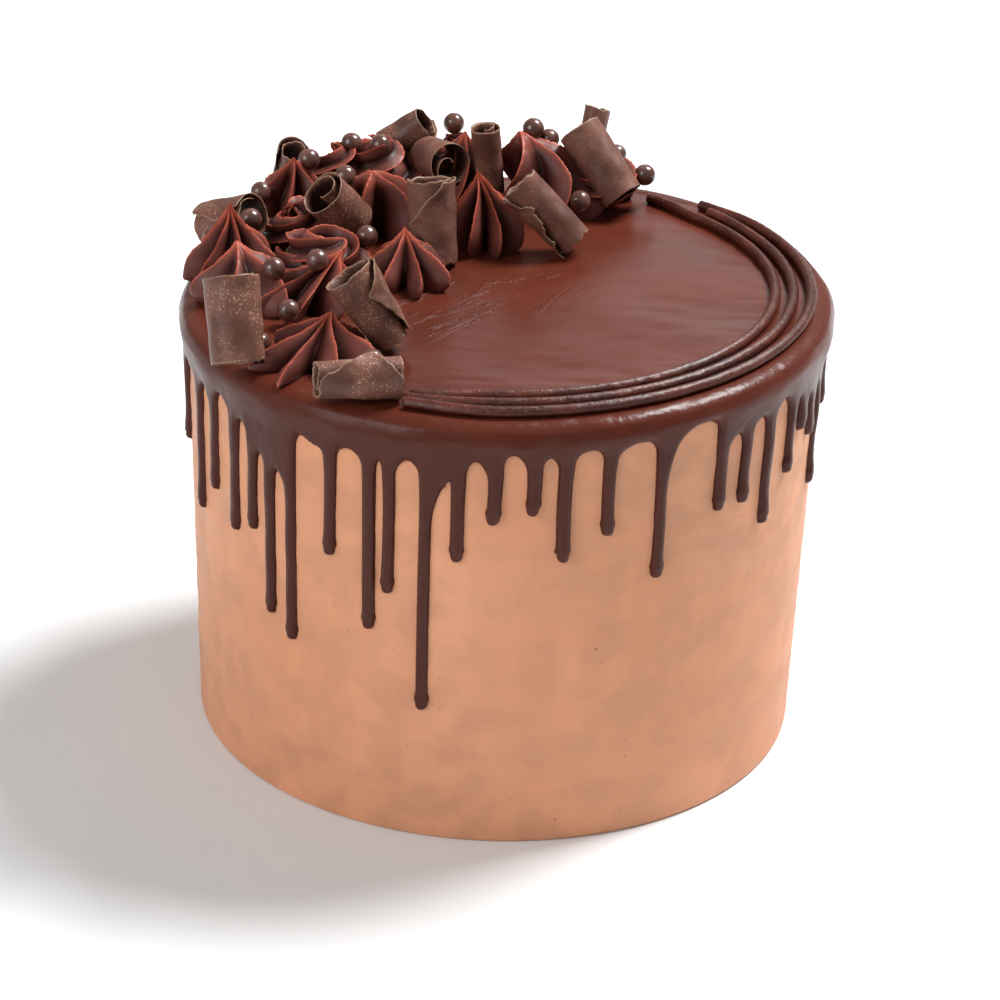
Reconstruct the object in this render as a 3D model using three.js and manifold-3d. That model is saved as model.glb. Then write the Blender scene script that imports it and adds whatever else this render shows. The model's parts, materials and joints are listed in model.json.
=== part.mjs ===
// Chocolate layer cake: one uncut tier in buttercream, under a ganache top that runs down its side
// in drips. A crescent of piped rosettes, rolled chocolate curls and chocolate pearls lies over the
// left and back of the top, and three piped lines close the ring round the right and front.
// Millimetres, +Z up, -Y is the front. The origin is the middle of the flat base.

import * as THREE from 'three';
import { mergeVertices } from 'three/addons/utils/BufferGeometryUtils.js';
import Module from 'manifold-3d';

// ---- driving dimensions -------------------------------------------------------------------------

const BASE_RADIUS = 80; // a 6 inch cake with its icing
const CAKE_HEIGHT = 117.5; // table to the top of the ganache, at the middle
const BODY_SIDES = 44;
const SIDE_FLARE = 2.1; // how much wider the side is under the rim than at the table
const TOP_SLOPE = new THREE.Vector2(0.028, 0.022); // the top rises a little to the right and the back
const BODY_EDGE = 3; // rounding of the body's top edge
const BODY_FOOT = 1; // and of its foot
const GAP = 0.3; // clearance between neighbouring pieces
const ROSETTE_GAP = 0.5; // clearance between two rosettes

const GANACHE_TOP = 2.3; // thickness on the top
const GANACHE_SIDE = 2.4; // thickness on the side, under the rim
const RIM_ROUND = 5.3; // radius of the rounded rim
const RIM_LAP = 1; // how far the ganache's underside reaches in past the rounding
const DRIP_HALF_WIDTH = 1.9;
const DRIP_BULGE = 2.6; // thickness down the middle of a drip
const DRIP_EDGE = 1.1; // thickness at its edges
const ARCH_THICKNESS = 1.5;
const ARCH_FILLET = 3.5; // how much lower an arch is where it meets a drip
const ARCH_FOOT = 0.4; // from a drip's edge to the foot of the arch
const BEAD_RISE = 0.7; // height of each step of the rounded lower edge
const BEAD_LIP = 0.6; // thickness at the lowest point of that edge, as a share of the full one
const BROAD_HEAD = 13; // how far down a drip with a broad head narrows

const LINE_RADIUS = 1.35; // of a piped line
const LINE_SIDES = 8;
const LINE_STEPS = 22;

const CURL_WALL = 0.9;
const CURL_PITCH = 1.7; // from one wrap of a curl to the next
const CURL_COLUMNS = 12;
const PLUG_SIDES = 12; // of the round hole that a curl presses into a rosette
const FLAP_ROOT = 0.1; // how far a flap runs on at its ends, as a share of its reach at the point

const PEARL_RADIUS = 2.9;

const ROSETTE_LOBES = 6;
const ROSETTE_RIDGE = 0.3; // depth of the valleys between ridges, as a share of the radius
const COLUMNS_A_LOBE = 3;
const STAR_LEVELS = [0, 0.14, 0.4, 0.7]; // rings below the peak of a star, as shares of its height
const SWIRL_LEVELS = [0, 0.16, 0.55, 0.85]; // and of a swirl
const SWIRL_RIDGE = 0.65; // how deep a swirl's valleys are, as a share of a star's

// ---- placements ---------------------------------------------------------------------------------

// Front drips from the left round to the right: angle in degrees, height of the tip over the table,
// drop from the top to the arch after the drip, and how far the drip broadens at its head.
const FRONT_DRIPS = [
  [-171.5, 79, 12], [-158, 68, 12], [-151, 78, 11], [-143.5, 71, 13], [-138, 74.5, 19],
  [-133.5, 53, 22], [-128.5, 48, 11], [-120, 76, 10.5], [-112.5, 58, 11], [-109, 69, 11],
  [-102.5, 37.5, 12, 1.5], [-97, 80, 10], [-91, 90.5, 8], [-84.5, 93, 8.5], [-79, 80, 7.5],
  [-71.5, 86, 7.5], [-62, 72, 6, 3], [-49.5, 85.5, 12], [-43.5, 85, 10.5], [-37, 76, 10],
  [-29.5, 85.5, 12], [-25, 94.5, 14], [-19.5, 90, 14], [-15, 73.5, 11], [-6.5, 90, 10],
];
const BACK_DRIPS = { from: 4, to: 180, every: 12, jitter: 3, lowest: 52, highest: 92, arch: 10, seed: 7 };

// Piped lines: radius along the right side, radius at the ends, where they close up, and the two
// end angles.
const LINES = [
  { name: 'piped_line_inner', radius: 68.8, endRadius: 71, from: -108, to: 58 },
  { name: 'piped_line_middle', radius: 73.4, endRadius: 74.2, from: -108, to: 42 },
  { name: 'piped_line_outer', radius: 78, endRadius: 77.5, from: -107, to: 47 },
];
const LINE_CLOSING = 16; // degrees before an end in which a line closes up

// Rosettes: place, radius, height, where the peak leans to, twist of the ridges and a turn.
// A star has nearly straight ridges, a swirl has strongly wound ones.
const ROSETTES = [
  { x: -46, y: -49, radius: 15.5, height: 10.5, lean: [4, 6], twist: 0.25, turn: 0.6 },
  { x: -26, y: 2, radius: 12, height: 13.2, lean: [-1, 5], twist: 0.2, turn: 0.5 },
  { x: -51, y: -13, radius: 14.5, height: 12, lean: [9, 4], twist: 0.4, turn: 0 },
  { x: -46, y: 6, radius: 14, height: 13, lean: [0, -2], twist: 1.4, turn: 0.3, full: 0.8 },
  { x: -66, y: -12, radius: 13, height: 14.5, lean: [-1, 4], twist: 1.2, turn: 0.9, full: 0.6 },
  { x: -71, y: 4, radius: 13, height: 20.5, lean: [-1, 2], twist: 0.5, turn: 0.4 },
  { x: -59, y: 40, radius: 12, height: 20.5, lean: [1, -1], twist: 0.6, turn: 0.1 },
  { x: -56.5, y: 25.5, radius: 11.5, height: 13, lean: [0, 0], twist: 1.3, turn: 0.7, full: 0.8 },
  { x: -36, y: 38, radius: 14.5, height: 17.5, lean: [0, 0], twist: 1.4, turn: 0.2, full: 1 },
  { x: -6, y: 28, radius: 11, height: 20.5, lean: [-3, 2], twist: 0.25, turn: 0.6 },
  { x: -15, y: 60, radius: 13, height: 20, lean: [2, 2], twist: 0.8, turn: 0.3, full: 0.2 },
  { x: 11, y: 54, radius: 15.5, height: 22, lean: [-8.5, 4], twist: 1.4, turn: 0.5, full: 1 },
  { x: -35.5, y: 58.5, radius: 13.5, height: 19, lean: [-4, 0], twist: 1.3, turn: 0.9, full: 1 },
  { x: 26, y: 58.5, radius: 12, height: 12, lean: [0, 0], twist: 1.2, turn: 0.4, full: 0.6 },
  { x: -48.5, y: 54, radius: 10, height: 18.5, lean: [0, 0], twist: 1.2, turn: 0.4, full: 0.8 },
  { x: -17, y: 71, radius: 10, height: 16, lean: [0, 0], twist: 1.2, turn: 0.4, full: 0.8 },
];

// Curls: the middle of each roll (x, y, height over the top), the way its axis points, its length,
// its outer radius at the end the axis points to and at the other, the wraps, a turn about the axis,
// and how far a flap runs on round it, in radians, with the place of its point along the length.
const CURLS = [
  { at: [-65.6, -52.4, 13.1], axis: [-0.12, 0.4, 0.91], length: 21.5, radii: [7.4, 7.2], wraps: 1.3,
    turn: 6 },
  { at: [-73.5, 22.3, 8.9], axis: [0.8, -0.49, 0.34], length: 16.5, radii: [6.6, 6.4], wraps: 1.2,
    turn: 2.1 },
  { at: [-60, 53, 12.6], axis: [0.19, -0.46, 0.86], length: 15, radii: [4.7, 4.2], wraps: 1.5, turn: 0.3 },
  { at: [-45.2, 22.3, 12.9], axis: [-0.57, -0.43, 0.7], length: 14.5, radii: [6.8, 6.3], wraps: 1.5,
    turn: 1.1 },
  { at: [-20.3, 15.5, 12.2], axis: [0.06, -0.17, -0.98], length: 22.5, radii: [6.6, 6.8], wraps: 1.1,
    turn: 0.9, flap: 1.6, point: 0.5 },
  { at: [-19.5, 57, 13.2], axis: [0.5, -0.86, 0.14], length: 13.5, radii: [6.7, 6.5], wraps: 1.6, turn: 4.9 },
  { at: [-29.5, 68.5, 16.5], axis: [0.8, -0.12, 0.59], length: 15, radii: [5.4, 5.6], wraps: 1.2, turn: 6.2 },
  { at: [-6.5, 53.5, 14.5], axis: [-0.12, -0.08, 0.99], length: 20, radii: [4, 4.2], wraps: 1.6, turn: 0.6 },
  { at: [10, 24.5, 11.8], axis: [-0.72, 0.15, 0.67], length: 22.6, radii: [6.2, 5.4], wraps: 1.1,
    turn: 3, flap: 1, point: 0.7 },
  { at: [24, 56, 13.2], axis: [-0.56, 0.38, 0.74], length: 22.5, radii: [6.7, 6.5], wraps: 1.2, turn: 0.4 },
  { at: [21.5, 71.7, 13.6], axis: [0.17, 0.31, 0.93], length: 20, radii: [4.2, 4.2], wraps: 1.2, turn: 0.3 },
  { at: [-33.1, -39.6, 12], axis: [0.56, -0.09, -0.83], length: 21, radii: [5.2, 7.2], wraps: 1.1,
    turn: 2.2, flap: 1.2, point: 0.32 },
  { at: [-34.6, -69.2, 6.5], axis: [-0.97, -0.22, 0.03], length: 21, radii: [4.9, 5.8], wraps: 1.1,
    turn: 4.5, flap: 1.6, point: 0.33 },
];

// Pearls: x, y and height of the middle over the top.
const PEARLS = [
  [-54.3, 43.9, 18.6], [-66.6, 36.5, 11.7], [-65.3, 15.2, 13.6], [-77, 13, 8], [-44.1, 36.2, 16.5],
  [-43.6, 55.3, 18.8], [-35.6, 54.2, 18.7], [-16.3, 74.2, 17.9], [5.7, 60.6, 21.3], [36.6, 58.1, 9.2],
  [-36.9, 10.7, 9.6], [-48.1, -12.4, 12.3], [-59, -14.1, 10.6], [-54.4, -25.6, 4.2], [-60.1, -43, 4.1],
  [10.1, 63.7, 18.4], [28.8, 64.7, 12.6], [-31.9, -55.3, 4], [19.4, 43.4, 7.4],
];

// ---- materials ----------------------------------------------------------------------------------

const buttercream = () => new THREE.MeshStandardMaterial({ color: 0xcf9a74, roughness: 0.6 });
const ganache = () => new THREE.MeshStandardMaterial({ color: 0x4a2620, roughness: 0.25 });
const pipedCream = () => new THREE.MeshStandardMaterial({ color: 0x54281f, roughness: 0.5 });
const curlChocolate = () => new THREE.MeshStandardMaterial({ color: 0x3e2a24, roughness: 0.45 });
const pearlChocolate = () => new THREE.MeshStandardMaterial({ color: 0x2e1c1a, roughness: 0.15 });

// ---- helpers ------------------------------------------------------------------------------------

// A repeatable random number from 0 to 1.
function randomFrom(seed) {
  let state = seed;
  return () => {
    state = (state * 16807) % 2147483647;
    return state / 2147483647;
  };
}

const smooth = (t) => t * t * (3 - 2 * t);

// The height of a point once the cake's slope is put in: none at the table, all of it at the top.
function settled(x, y, z) {
  return z * (1 + (TOP_SLOPE.x * x + TOP_SLOPE.y * y) / CAKE_HEIGHT);
}

const topAt = (x, y) => settled(x, y, CAKE_HEIGHT);

const sideRadius = (z) => BASE_RADIUS + (SIDE_FLARE * z) / CAKE_HEIGHT;

// A closed solid through rings of points, all of one count and anticlockwise seen from the last
// ring. The end rings are closed round a middle point, the last one round the apex if it has one, or
// as a ladder across a band of two edges.
function ringSolid(rings, { ladder = false, apex = null } = {}) {
  const count = rings[0].length;
  const points = rings.flat();
  const index = [];
  for (let r = 0; r + 1 < rings.length; r += 1) {
    for (let c = 0; c < count; c += 1) {
      const next = (c + 1) % count;
      const [a, b] = [r * count + c, r * count + next];
      index.push(a, b, b + count, a, b + count, a + count);
    }
  }
  const last = (rings.length - 1) * count;
  if (ladder) {
    for (let c = 0; c + 1 < count / 2; c += 1) {
      const far = count - 1 - c;
      index.push(c, far, far - 1, c, far - 1, c + 1);
      index.push(last + c, last + far - 1, last + far, last + c, last + c + 1, last + far - 1);
    }
  } else {
    for (const start of [0, last]) {
      const middle = new THREE.Vector3();
      points.slice(start, start + count).forEach((p) => middle.addScaledVector(p, 1 / count));
      points.push(start === last && apex ? apex : middle);
      for (let c = 0; c < count; c += 1) {
        const next = (c + 1) % count;
        const edge = start === 0 ? [start + next, start + c] : [start + c, start + next];
        index.push(...edge, points.length - 1);
      }
    }
  }
  const geometry = new THREE.BufferGeometry().setFromPoints(points);
  geometry.setIndex(index);
  return geometry;
}

function named(name, geometry, material) {
  geometry.computeVertexNormals();
  const mesh = new THREE.Mesh(geometry, material);
  mesh.name = name;
  return mesh;
}

// ---- cutting soft pieces round what is pressed into them ----------------------------------------

const wasm = await Module();
wasm.setup();

function asManifold(geometry) {
  const bare = geometry.clone();
  bare.deleteAttribute('normal');
  bare.deleteAttribute('uv');
  const merged = mergeVertices(bare, 1e-4);
  return new wasm.Manifold(new wasm.Mesh({
    numProp: 3,
    vertProperties: new Float32Array(merged.attributes.position.array),
    triVerts: new Uint32Array(merged.index.array),
  }));
}

function asGeometry(manifold) {
  const { vertProperties, triVerts } = manifold.getMesh();
  const geometry = new THREE.BufferGeometry();
  geometry.setAttribute('position', new THREE.BufferAttribute(new Float32Array(vertProperties), 3));
  geometry.setIndex(new THREE.BufferAttribute(new Uint32Array(triVerts), 1));
  return geometry;
}

// The largest piece that is left of a solid once the cutters are taken out of it.
function carved(geometry, cutters) {
  let left = asManifold(geometry);
  cutters.forEach((cutter) => { left = left.subtract(cutter); });
  const pieces = left.decompose();
  pieces.sort((a, b) => b.volume() - a.volume());
  return asGeometry(pieces[0]);
}

// ---- cake body ----------------------------------------------------------------------------------

function cakeBody() {
  const bodyTop = CAKE_HEIGHT - GANACHE_TOP;
  const cornerIn = BODY_EDGE * (1 - Math.SQRT1_2); // the rounded edge's middle, in from the corner
  const profile = [
    [0, 0],
    [BASE_RADIUS - BODY_FOOT, 0],
    [sideRadius(BODY_FOOT), BODY_FOOT],
    [sideRadius(bodyTop - BODY_EDGE), bodyTop - BODY_EDGE],
    [sideRadius(bodyTop) - cornerIn, bodyTop - cornerIn],
    [sideRadius(bodyTop) - BODY_EDGE, bodyTop],
    [0, bodyTop],
  ].map(([radius, z]) => new THREE.Vector2(radius, z));
  const geometry = new THREE.LatheGeometry(profile, BODY_SIDES).rotateX(Math.PI / 2);
  const position = geometry.attributes.position;
  for (let i = 0; i < position.count; i += 1) {
    const [x, y, z] = [position.getX(i), position.getY(i), position.getZ(i)];
    position.setZ(i, settled(x, y, z));
  }
  return named('frosted_cake', geometry, buttercream());
}

// ---- ganache with its drips ---------------------------------------------------------------------

function allDrips() {
  const drips = FRONT_DRIPS.map(([angle, tip, arch, broad = 0]) => ({ angle, tip, arch, broad }));
  const { from, to, every, jitter, lowest, highest, arch, seed } = BACK_DRIPS;
  const random = randomFrom(seed);
  for (let angle = from; angle < to; angle += every) {
    const shift = jitter * (random() - 0.5);
    const tip = lowest + (highest - lowest) * random();
    drips.push({ angle: angle + shift, tip, arch, broad: 0 });
  }
  return drips;
}

// The ganache's lower edge as columns: angle, height of the edge and thickness there.
function dripColumns(drips) {
  const degrees = (length) => THREE.MathUtils.radToDeg(length / (BASE_RADIUS + SIDE_FLARE));
  const half = degrees(DRIP_HALF_WIDTH);
  const foot = degrees(DRIP_HALF_WIDTH + ARCH_FOOT);
  const roomForArch = 3 * foot;
  const columns = [];
  drips.forEach(({ angle, tip, arch, broad }, i) => {
    const before = drips[(i + drips.length - 1) % drips.length];
    const following = i + 1 < drips.length ? drips[i + 1].angle : drips[0].angle + 360;
    const archFoot = (drop) => CAKE_HEIGHT - drop - ARCH_FILLET;
    const column = (at, z, thickness) => columns.push({ angle: at, z, thickness });
    column(angle - foot, archFoot(before.arch), DRIP_EDGE);
    column(angle - half, tip + DRIP_HALF_WIDTH, DRIP_EDGE);
    column(angle, tip, DRIP_BULGE);
    column(angle + half, tip + DRIP_HALF_WIDTH, DRIP_EDGE);
    if (broad > 0) column(angle + foot, archFoot(arch) - BROAD_HEAD, DRIP_EDGE);
    column(angle + foot + broad, archFoot(arch), DRIP_EDGE);
    if (following - angle > roomForArch) {
      column((angle + broad + following) / 2, CAKE_HEIGHT - arch, ARCH_THICKNESS);
    }
  });
  return columns;
}

function ganacheWithDrips() {
  const columns = dripColumns(allDrips());
  const underside = CAKE_HEIGHT - GANACHE_TOP + GAP;
  const rimRadius = sideRadius(CAKE_HEIGHT) + GANACHE_SIDE;
  const rimFoot = CAKE_HEIGHT - RIM_ROUND;
  const inside = (z) => sideRadius(z) + GAP;
  const at = (angle, radius, z) => {
    const x = radius * Math.cos(THREE.MathUtils.degToRad(angle));
    const y = radius * Math.sin(THREE.MathUtils.degToRad(angle));
    return new THREE.Vector3(x, y, settled(x, y, z));
  };
  const ring = (rule) => columns.map((column) => at(column.angle, ...rule(column)));
  const rimRing = (turn) => ring(() => [
    rimRadius - RIM_ROUND * (1 - Math.cos(turn)),
    rimFoot + RIM_ROUND * Math.sin(turn),
  ]);
  return named('ganache_drip', ringSolid([
    ring(() => [rimRadius - RIM_ROUND - RIM_LAP, underside]),
    ring(() => [inside(underside), underside]),
    ring(({ z }) => [inside(z), z + BEAD_RISE]),
    ring(({ z, thickness }) => [inside(z) + BEAD_LIP * thickness, z]),
    ring(({ z, thickness }) => [inside(z) + thickness, z + 2 * BEAD_RISE]),
    rimRing(0),
    rimRing(Math.PI / 4),
    rimRing(Math.PI / 2),
  ]), ganache());
}

// ---- piped lines --------------------------------------------------------------------------------

class LinePath extends THREE.Curve {
  constructor({ radius, endRadius, from, to }) {
    super();
    Object.assign(this, { radius, endRadius, from, to });
  }

  getPoint(t, target = new THREE.Vector3()) {
    const angle = this.from + (this.to - this.from) * t;
    const fromEnd = Math.min(angle - this.from, this.to - angle);
    const even = smooth(Math.min(1, fromEnd / LINE_CLOSING));
    const radius = this.endRadius + (this.radius - this.endRadius) * even;
    const x = radius * Math.cos(THREE.MathUtils.degToRad(angle));
    const y = radius * Math.sin(THREE.MathUtils.degToRad(angle));
    return target.set(x, y, topAt(x, y) + LINE_RADIUS + GAP);
  }
}

function pipedLine(line) {
  const section = new THREE.Shape();
  for (let i = 0; i < LINE_SIDES; i += 1) {
    const turn = ((i + 0.5) * 2 * Math.PI) / LINE_SIDES;
    const [x, y] = [LINE_RADIUS * Math.cos(turn), LINE_RADIUS * Math.sin(turn)];
    if (i === 0) section.moveTo(x, y);
    else section.lineTo(x, y);
  }
  const geometry = new THREE.ExtrudeGeometry(section, {
    steps: LINE_STEPS,
    extrudePath: new LinePath(line),
  });
  return named(line.name, geometry, pipedCream());
}

// ---- rosettes -----------------------------------------------------------------------------------

// The radius of a rosette from its base (t = 0) to its peak (t = 1), as a share of its full radius:
// drawn out to the peak in a star, and a dome in a swirl (full = 1).
function rosetteProfile(t, full) {
  const star = 0.94 * (1 - t) ** 2 * (1 + 2.9 * t);
  const dome = 0.97 * (1 - t ** 3.5) ** 0.8;
  return star + (dome - star) * full;
}

// A rosette's solid, grown by a margin when it cuts its neighbours.
function rosetteSolid({ x, y, radius, height, lean, twist, turn, full = 0 }, margin = 0) {
  const columns = ROSETTE_LOBES * COLUMNS_A_LOBE;
  const over = (t) => GAP + margin + height * t;
  const mixed = (star, swirl) => star + (swirl - star) * full;
  const ridge = ROSETTE_RIDGE * mixed(1, SWIRL_RIDGE);
  const levels = STAR_LEVELS.map((star, i) => {
    const t = mixed(star, SWIRL_LEVELS[i]);
    return { t, wound: t + margin / height, z: over(t) };
  });
  if (margin > 0) levels.unshift({ t: 0, wound: 0, z: -margin });
  const rings = levels.map(({ t, wound, z }) => {
    const ring = [];
    for (let c = 0; c < columns; c += 1) {
      const along = (2 * Math.PI * c) / columns;
      const valley = Math.abs(Math.sin((ROSETTE_LOBES * along) / 2));
      const reach = radius * rosetteProfile(t, full) * (1 - ridge * valley) + margin;
      const angle = along + turn + twist * wound;
      const px = x + lean[0] * wound * wound + reach * Math.cos(angle);
      const py = y + lean[1] * wound * wound + reach * Math.sin(angle);
      ring.push(new THREE.Vector3(px, py, topAt(px, py) + z));
    }
    return ring;
  });
  const [peakX, peakY] = [x + lean[0], y + lean[1]];
  return ringSolid(rings, { apex: new THREE.Vector3(peakX, peakY, topAt(peakX, peakY) + over(1)) });
}

// ---- curls --------------------------------------------------------------------------------------

// A rolled sheet of chocolate along Z: a spiral band that starts inside, goes round its wraps and
// ends in a flap, which comes to a point part of the way along.
function curlSolid({ length, radii, wraps, flap = 0, point = 0.5 }) {
  const [headRadius, footRadius] = radii;
  const wrapped = 2 * Math.PI * wraps;
  const rows = flap > 0 ? [0, point / 2, point, (1 + point) / 2, 1] : [0, 1];
  const rings = rows.map((v) => {
    const outer = footRadius + (headRadius - footRadius) * v;
    const towardsPoint = v < point ? v / point : (1 - v) / (1 - point);
    const reach = flap * (FLAP_ROOT + (1 - FLAP_ROOT) * towardsPoint);
    const angles = Array.from({ length: CURL_COLUMNS }, (_, i) => (wrapped * i) / (CURL_COLUMNS - 1));
    if (flap > 0) angles.push(wrapped + reach / 3, wrapped + (2 * reach) / 3, wrapped + reach);
    const pointAt = (angle, offset) => {
      const radius = outer - (CURL_PITCH * (wrapped - angle)) / (2 * Math.PI) - offset;
      const [x, y] = [radius * Math.cos(angle), radius * Math.sin(angle)];
      return new THREE.Vector3(x, y, length * (v - 0.5));
    };
    const outside = angles.map((angle) => pointAt(angle, 0));
    const inside = angles.map((angle) => pointAt(angle, CURL_WALL)).reverse();
    return [...outside, ...inside];
  });
  return ringSolid(rings, { ladder: true });
}

// The plain round plug that a curl fills, with the gap round it: what it presses into a rosette.
function curlPlug({ length, radii, flap = 0 }) {
  const margin = GAP / Math.cos(Math.PI / PLUG_SIDES) + (CURL_PITCH * flap) / (2 * Math.PI);
  const [head, foot] = radii.map((radius) => radius + margin);
  return new THREE.CylinderGeometry(head, foot, length + 2 * GAP, PLUG_SIDES).rotateX(Math.PI / 2);
}

function placeCurl(mesh, { at: [x, y, over], axis, turn }) {
  mesh.position.set(x, y, topAt(x, y) + over);
  mesh.quaternion.setFromUnitVectors(
    new THREE.Vector3(0, 0, 1),
    new THREE.Vector3(...axis).normalize(),
  );
  mesh.rotateZ(turn);
  mesh.updateMatrix();
}

// ---- pearls -------------------------------------------------------------------------------------

const placePearl = (geometry, [x, y, over]) => geometry.translate(x, y, topAt(x, y) + over);

const pearlSolid = (radius) => {
  const ball = new THREE.IcosahedronGeometry(radius, 1);
  ball.deleteAttribute('normal');
  ball.deleteAttribute('uv');
  return mergeVertices(ball, 1e-4);
};

// ---- the cake -----------------------------------------------------------------------------------

const twoDigits = (i) => String(i + 1).padStart(2, '0');

const cake = new THREE.Group();
cake.name = 'chocolate_layer_cake';
cake.add(cakeBody());
cake.add(ganacheWithDrips());
LINES.forEach((line) => cake.add(pipedLine(line)));

const cutters = [];

CURLS.forEach((curl, i) => {
  const mesh = named(`curl_${twoDigits(i)}`, curlSolid(curl), curlChocolate());
  placeCurl(mesh, curl);
  cake.add(mesh);
  cutters.push(asManifold(curlPlug(curl).applyMatrix4(mesh.matrix)));
});

PEARLS.forEach((pearl, i) => {
  const geometry = placePearl(pearlSolid(PEARL_RADIUS), pearl);
  cake.add(named(`pearl_${twoDigits(i)}`, geometry, pearlChocolate()));
  cutters.push(asManifold(placePearl(pearlSolid(PEARL_RADIUS + GAP), pearl)));
});

ROSETTES.forEach((rosette, i) => {
  const geometry = carved(rosetteSolid(rosette), cutters);
  cake.add(named(`rosette_${twoDigits(i)}`, geometry, pipedCream()));
  cutters.push(asManifold(rosetteSolid(rosette, ROSETTE_GAP)));
});

export default cake;
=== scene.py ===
"""Chocolate layer cake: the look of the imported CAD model, laid out as a Blender add-on.

Lengths in the tables are in millimetres, as in the CAD source. The finished meshes are in metres.
"""

import json
import math

import bpy
import numpy as np
from mathutils import Euler, Matrix, Vector
from mathutils.bvhtree import BVHTree

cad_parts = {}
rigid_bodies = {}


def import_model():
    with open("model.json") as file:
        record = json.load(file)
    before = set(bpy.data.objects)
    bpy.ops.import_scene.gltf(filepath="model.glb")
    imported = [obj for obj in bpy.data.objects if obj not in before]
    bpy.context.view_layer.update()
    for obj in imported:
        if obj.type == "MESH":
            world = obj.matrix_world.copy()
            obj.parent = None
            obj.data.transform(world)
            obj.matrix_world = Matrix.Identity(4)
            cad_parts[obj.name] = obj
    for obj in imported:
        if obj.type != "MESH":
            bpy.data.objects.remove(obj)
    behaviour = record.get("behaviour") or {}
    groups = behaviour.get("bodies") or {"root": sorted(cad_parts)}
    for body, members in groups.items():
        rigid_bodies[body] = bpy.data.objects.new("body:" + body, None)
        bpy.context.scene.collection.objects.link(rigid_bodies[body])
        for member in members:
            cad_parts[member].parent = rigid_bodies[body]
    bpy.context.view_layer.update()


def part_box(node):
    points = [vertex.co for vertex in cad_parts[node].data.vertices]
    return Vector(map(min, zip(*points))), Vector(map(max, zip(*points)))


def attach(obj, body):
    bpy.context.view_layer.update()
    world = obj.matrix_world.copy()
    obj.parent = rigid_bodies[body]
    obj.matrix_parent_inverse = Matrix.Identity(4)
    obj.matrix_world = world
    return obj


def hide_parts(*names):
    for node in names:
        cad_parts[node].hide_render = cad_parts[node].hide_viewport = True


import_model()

bl_info = {
    "name": "Chocolate layer cake",
    "version": (1, 0, 0),
    "blender": (4, 5, 0),
    "location": "View3D > Sidebar > Cake",
    "description": "Ices, drips, pipes and tops a chocolate layer cake over its CAD model",
    "category": "Add Mesh",
}

MM = 0.001
ROUND = 82  # the side's rough radius in millimetres, for lengths round it

# ---- where things lie, as in the CAD source ------------------------------------------------------

# Angle in degrees, height of the tip, drop from the top to the arch after the drip, and how far the
# drip broadens at its head, in degrees.
FRONT_DRIPS = [
    (-171.5, 79, 12, 0), (-158, 68, 12, 0), (-151, 78, 11, 0), (-143.5, 71, 13, 0),
    (-138, 74.5, 19, 0), (-133.5, 53, 22, 0), (-128.5, 48, 11, 0), (-120, 76, 10.5, 0),
    (-112.5, 58, 11, 0), (-109, 69, 11, 0), (-102.5, 37.5, 12, 4), (-97, 80, 10, 0),
    (-91, 90.5, 8, 0), (-84.5, 93, 8.5, 0), (-79, 80, 7.5, 0), (-71.5, 86, 7.5, 0),
    (-62, 72, 6, 3), (-49.5, 85.5, 12, 0), (-43.5, 85, 10.5, 0), (-37, 76, 10, 0),
    (-29.5, 85.5, 12, 0), (-25, 94.5, 14, 0), (-19.5, 90, 14, 0), (-15, 73.5, 11, 0),
    (-6.5, 90, 10, 0),
]
BACK_DRIPS = {
    "start": 4, "stop": 180, "every": 12, "jitter": 3, "lowest": 52, "highest": 92, "arch": 10, "seed": 7,
}

# Radius along the right side, radius at the ends, and the two end angles.
PIPED_LINES = {
    "piped_line_inner": (68.8, 72, -108, 58),
    "piped_line_middle": (73.4, 74.2, -108.5, 43),
    "piped_line_outer": (78, 76.6, -107.5, 47),
}
LINE_CLOSING = 16  # degrees before an end in which a line closes up

# Star rosettes: CAD node, x, y, radius, height, where the peak leans to, twist, turn, ridges and how
# far the lobes bulge up (0 is a pointed hat, 1 a dome).
STARS = [
    ("rosette_01", -46.5, -49.5, 16, 12, (4, 6), 0.25, 0.6, 7, 0.0),
    ("rosette_02", -26, 2, 12.5, 14, (-1, 5), 0.2, 0.5, 7, 0.0),
    ("rosette_03", -51, -13, 15, 13.5, (9, 4), 0.4, 0.0, 7, 0.0),
    ("rosette_05", -66, -13, 14, 15, (-3, 6), 0.5, 5.5, 5, 0.3),
    ("rosette_06", -71, 4, 13, 20.5, (-1, 2), 0.5, 0.4, 7, -0.15),
    ("rosette_07", -59, 40, 12.5, 20.5, (1, -1), 0.6, 0.1, 6, 0.3),
    ("rosette_09", -36, 37.5, 14.5, 18.5, (-1, -3), 0.3, 5.5, 5, 0.75),
    ("rosette_10", -6, 28, 11.5, 21, (-3, 2), 0.25, 0.6, 7, 0.0),
    ("rosette_11", -15, 60, 13, 20, (2, 2), 0.8, 0.3, 6, 0.3),
    ("rosette_12", 11, 54, 15.5, 22, (-9, 3), 1.3, 4.6, 5, 0.6),
]

# Wound rosettes: CAD node, x, y, radius, height, where the peak leans to, turns of the rope, the
# angle where the rope starts, its radius, and how much of a dome it makes (1 is a cone).
SWIRLS = [
    ("rosette_04", -49, 4, 15.5, 13.5, (5, -5), 1.75, 2.6, 5.6, 1.5),
    ("rosette_13", -35.5, 58.5, 14, 20, (-4, 0), 1.7, 3.6, 6.4, 2.4),
    ("rosette_08", -56.5, 25.5, 11.5, 13, (0, 0), 1.4, 1.0, 4.6, 1.4),
    ("rosette_14", 26, 58.5, 13, 12, (0, 0), 1.4, 0.4, 4.8, 1.4),
    ("rosette_15", -48.5, 53, 11.5, 20, (0, 0), 2.1, 2.0, 5.2, 2.2),
    ("rosette_16", -17, 71, 10, 16, (0, 0), 1.9, 4.0, 4.6, 2.2),
]

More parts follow.
